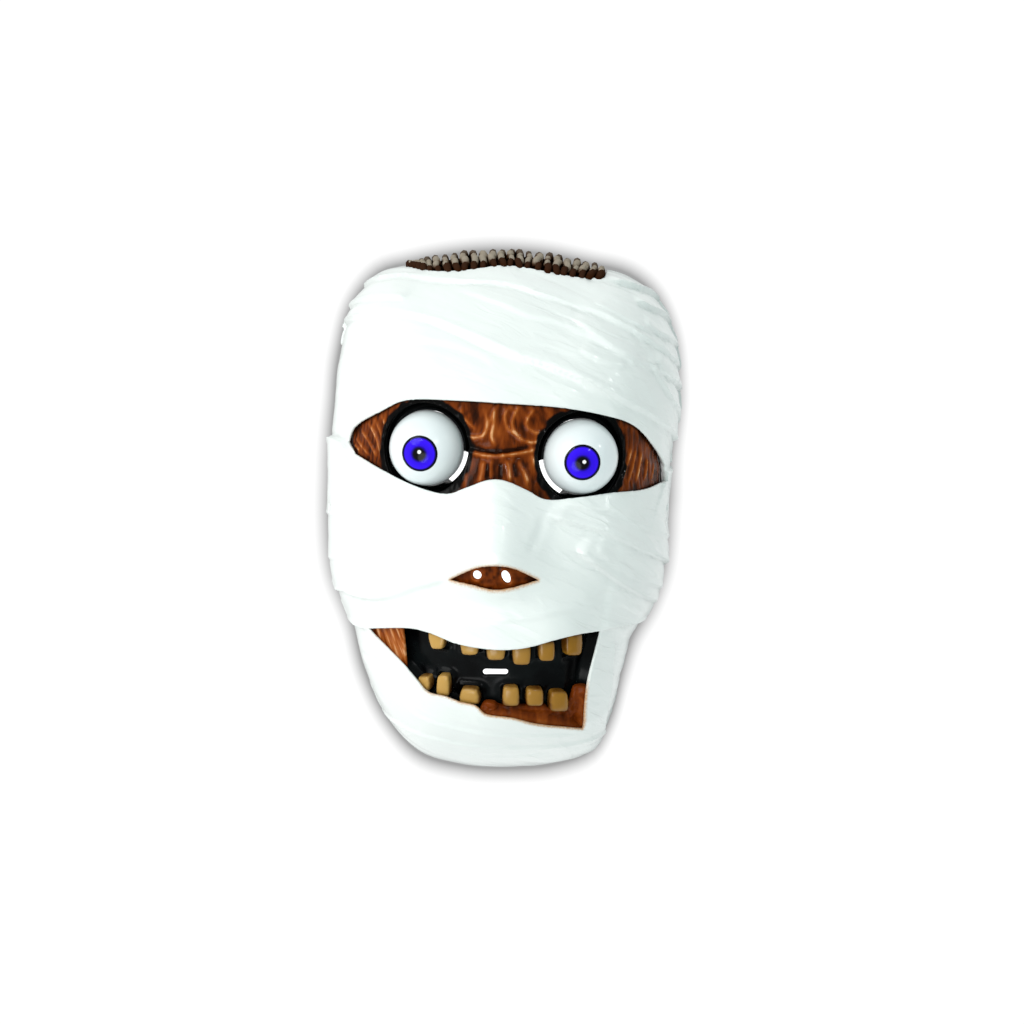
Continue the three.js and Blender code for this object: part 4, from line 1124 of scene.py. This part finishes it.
# %% Curls on a net
spots, spins, browns = [], [], []
run = np.concatenate([[0], np.cumsum(np.hypot(*np.diff(hair_line, axis=0).T))])
for row in range(CURL_ROWS):
    for column in range(CURL_COLUMNS):
        share = (column + 0.5 + 0.1 * math.sin(5.1 * column + 2.3 * row)) / CURL_COLUMNS
        start = np.array([np.interp(share * run[-1], run, hair_line[:, k]) for k in (0, 1)])
        turn = math.atan2(start[1], start[0])
        out = np.array((math.cos(turn), math.sin(turn)))
        near, far = math.hypot(*start) + FREE_FRONT, float(rim_reach(turn)) + SKIRT - FREE_BACK
        place = (near + (far - near) * (row + 0.25) / CURL_ROWS) * out
        here = formed(*place, CURL_DEPTH)
        if here[2] < LOWEST_CURL or share > 0.985:
            continue
        forward = Vector(formed(*(place + 0.5 * out), CURL_DEPTH) - here).normalized()
        across = forward.cross(Vector(formed(*place, 0.4) - here)).normalized()
        spins.append(Matrix((across, forward, across.cross(forward))).transposed().to_euler())
        spots.append(here)
        browns.append(ROW_BROWN[row])

curls = mesh_piece("curls", spots, [], {"low": browns})
spin = curls.data.attributes.new("spin", "FLOAT_VECTOR", "POINT")
spin.data.foreach_set("vector", np.array(spins).ravel())

hair = Finish("painted hair", Roughness=0.6, Specular_IOR_Level=0.0)
# Lighter on the tops of the curls and darker at their feet and on the scalp between them: partly dry-brushed
# paint, partly a painted highlight on top and painted shade between the curls.
lightness = (hair.mark("lift") * 0.75 + hair.noise(260, 4) * 0.8 - 0.42).between(0.0, 1.0)
grey = hair.ramp(lightness, (0.0, 22, 12, 6), (0.4, 62, 40, 25), (0.75, 128, 112, 96), (1.0, 176, 166, 150))
hair.feed("Base Color", hair.mix(hair.mark("low") * 0.98, grey, paint(50, 25, 11)))
hair.bump(hair.noise(900, 4), 0.00015, 0.6)


def curl_tree(finish):
    """Sets an arched tube on each point of the net, with a random size and lean."""
    tree = bpy.data.node_groups.new("curls on a net", "GeometryNodeTree")
    face = tree.interface
    face.new_socket("Geometry", in_out="INPUT", socket_type="NodeSocketGeometry")
    for name, value in (("Curl Length", 0.0098), ("Curl Rise", 0.0026), ("Curl Thickness", 0.00175)):
        face.new_socket(name, in_out="INPUT", socket_type="NodeSocketFloat").default_value = value
    face.new_socket("Geometry", in_out="OUTPUT", socket_type="NodeSocketGeometry")
    nodes = Nodes(tree)
    given = nodes.node("NodeGroupInput").socket.node.outputs
    points, length, rise, thickness = (Sum(nodes, socket) for socket in given[:4])

    def at(**axes):
        return nodes.node("ShaderNodeCombineXYZ", axes)

    arch = nodes.node("GeometryNodeCurveQuadraticBezier", {
        "Resolution": 7, "Start": at(Y=length * -0.5), "Middle": at(Z=rise * 2.0), "End": at(Y=length * 0.5)})
    circle = nodes.node("GeometryNodeCurvePrimitiveCircle", {"Resolution": 7, "Radius": thickness})
    tube = nodes.node("GeometryNodeCurveToMesh", {
        "Curve": arch, "Profile Curve": circle, "Fill Caps": True})
    # The height on each curl, which the hair's material makes lighter: partly a painted highlight.
    lift = nodes.part(nodes.node("GeometryNodeInputPosition"), 2) / rise
    marked = nodes.node("GeometryNodeStoreNamedAttribute", {"Geometry": tube, "Name": "lift", "Value": lift},
                        data_type="FLOAT", domain="POINT")
    spin = nodes.node("GeometryNodeInputNamedAttribute", {"Name": "spin"}, data_type="FLOAT_VECTOR")
    size = nodes.node("FunctionNodeRandomValue", {"Min": 0.85, "Max": 1.2, "Seed": 3}, out=1, data_type="FLOAT")
    tubes = nodes.node("GeometryNodeInstanceOnPoints", {
        "Points": nodes.node("GeometryNodeMeshToPoints", {"Mesh": points}), "Instance": marked,
        "Rotation": spin, "Scale": size})
    lean = nodes.node("FunctionNodeRandomValue", {0: (-0.12, -0.12, -0.22), 1: (0.12, 0.12, 0.22), "Seed": 11},
                      data_type="FLOAT_VECTOR")
    rocked = nodes.node("GeometryNodeRotateInstances", {"Instances": tubes, "Rotation": lean})
    whole = nodes.node("GeometryNodeRealizeInstances", {"Geometry": rocked})
    nodes.node("NodeGroupOutput", {
        0: nodes.node("GeometryNodeSetMaterial", {"Geometry": whole, "Material": finish})})
    return tree


modifier = curls.modifiers.new("curls", "NODES")
modifier.node_group = curl_tree(hair.material)
bpy.context.view_layer.update()
grown = bpy.data.meshes.new_from_object(curls.evaluated_get(bpy.context.evaluated_depsgraph_get()))
curls.modifiers.remove(modifier)
curls.data = grown
curls.data.shade_smooth()
finished(scalp, hair.material, "hair_plastic", "scalp")
finished(curls, hair.material, "hair_plastic")
print("curls on the scalp:", len(spots))

# %% [markdown]
# ## Floor, light and camera
# The mask lies on a glowing table and is seen from straight above, through a long lens. A mark on the
# table says how far outside the rim a point lies. By it the table's glow is darker close round the mask, a
# painted shadow, and brighter under the mask, as on a light table, so the holes in the mask read white. Two
# soft lights stand at the left and below, three small ones make the glints, and the sky is cooler at the right.

# %% The table
OUT = [-30, -14, -6, -2, 0, 1, 2, 3, 4, 5, 6, 7, 8, 9, 10, 12, 60, 400, 9000]  # mm outside the rim
PAINTED_SHADOW_REACH, PAINTED_SHADOW_MORE = 10.5, 2.4  # mm that the painted shadow reaches, and how much further at the crown
ROUND = 180  # steps round the table
net_points, beside = [(0, 0, 0)], [-60.0]
for out in OUT:
    for turn in np.linspace(-np.pi, np.pi, ROUND, endpoint=False):
        far = rim_reach(turn) + out
        net_points.append((far * math.cos(turn), far * math.sin(turn), 0))
        more = PAINTED_SHADOW_MORE * (3 + math.sin(turn)) / 4 * math.sin(turn) ** 2
        beside.append(out - more if out >= 0 else out)
net_faces = []
for k in range(ROUND):
    m = (k + 1) % ROUND
    net_faces.append((0, 1 + k, 1 + m))
    for a in range(1, 1 + ROUND * (len(OUT) - 1), ROUND):
        net_faces.append((a + k, a + ROUND + k, a + ROUND + m, a + m))
table = mesh_piece("table", net_points, net_faces, {"beside": beside})
pale = Finish("glowing table with painted shadow", Roughness=0.9, Specular_IOR_Level=0.0, Base_Color=(0.02, 0.02, 0.02, 1),
              Emission_Strength=1.5)
outside = pale.mark("beside")
# Painted shadow: the table's glow is darker close outside the rim, and brighter under the mask, as on a light
# table.
shade = (1 - outside / PAINTED_SHADOW_REACH).most(0.0).least(1.0) ** 1.6 * 0.66
around = pale.mix(shade, (0.7, 0.7, 0.7, 1), (0, 0, 0, 1))
pale.feed("Emission Color", pale.mix((0.0 - outside).between(3.0, 9.0), around, (1, 1, 1, 1)))
table.data.materials.append(pale.material)
print("table:", len(net_faces), "faces, from", OUT[0], "to", OUT[-1], "mm outside the rim")

# %% Lights and camera
scene = bpy.context.scene
scene.view_settings.view_transform = "Standard"
scene.world = bpy.data.worlds.new("studio")
scene.world.use_nodes = True
sky = Nodes(scene.world.node_tree)
rightness = sky.node("ShaderNodeMapRange", {0: sky.part(sky.node("ShaderNodeTexCoord")), 1: -0.9, 2: 0.8})
sky.set(sky.tree.nodes["Background"].inputs["Color"],
        sky.mix(rightness, (0.82, 0.82, 0.8, 1), (0.32, 0.405, 0.395, 1)))


def soft_light(name, place, size, power, colour=(1.0, 1.0, 1.0)):
    """A round lamp that looks at the mask."""
    lamp = bpy.data.lights.new(name, "AREA")
    lamp.shape, lamp.size, lamp.energy, lamp.color = "DISK", size, power, colour
    made = shown(name, lamp)
    made.location = place
    made.rotation_euler = (-Vector(place)).to_track_quat("-Z", "Y").to_euler()


soft_light("key", (-1.5, 1.1, 1.9), 1.5, 26, (1.0, 1.0, 0.985))
soft_light("low", (-0.5, -1.2, 2.1), 1.3, 18)
soft_light("glint left", (-0.7, 0.9, 1.9), 0.1, 2.2)
soft_light("glint right", (0.9, 0.7, 1.7), 0.12, 2.6)
soft_light("glint low", (1.9, 1.0, 0.75), 0.2, 1.8)
FAR, SEEN = 8.0, 0.553  # metres from the camera to the table, and how much of the table the photo shows
lens = bpy.data.cameras.new("camera")
lens.sensor_width, lens.clip_end = 36, 200
lens.lens = 36 / (2 * (SEEN / 2) / FAR)
scene.camera = shown("camera", lens)
scene.camera.location = (0.0043, -0.0022, FAR)
print("the camera looks from", FAR, "m through a lens of", round(lens.lens), "mm")
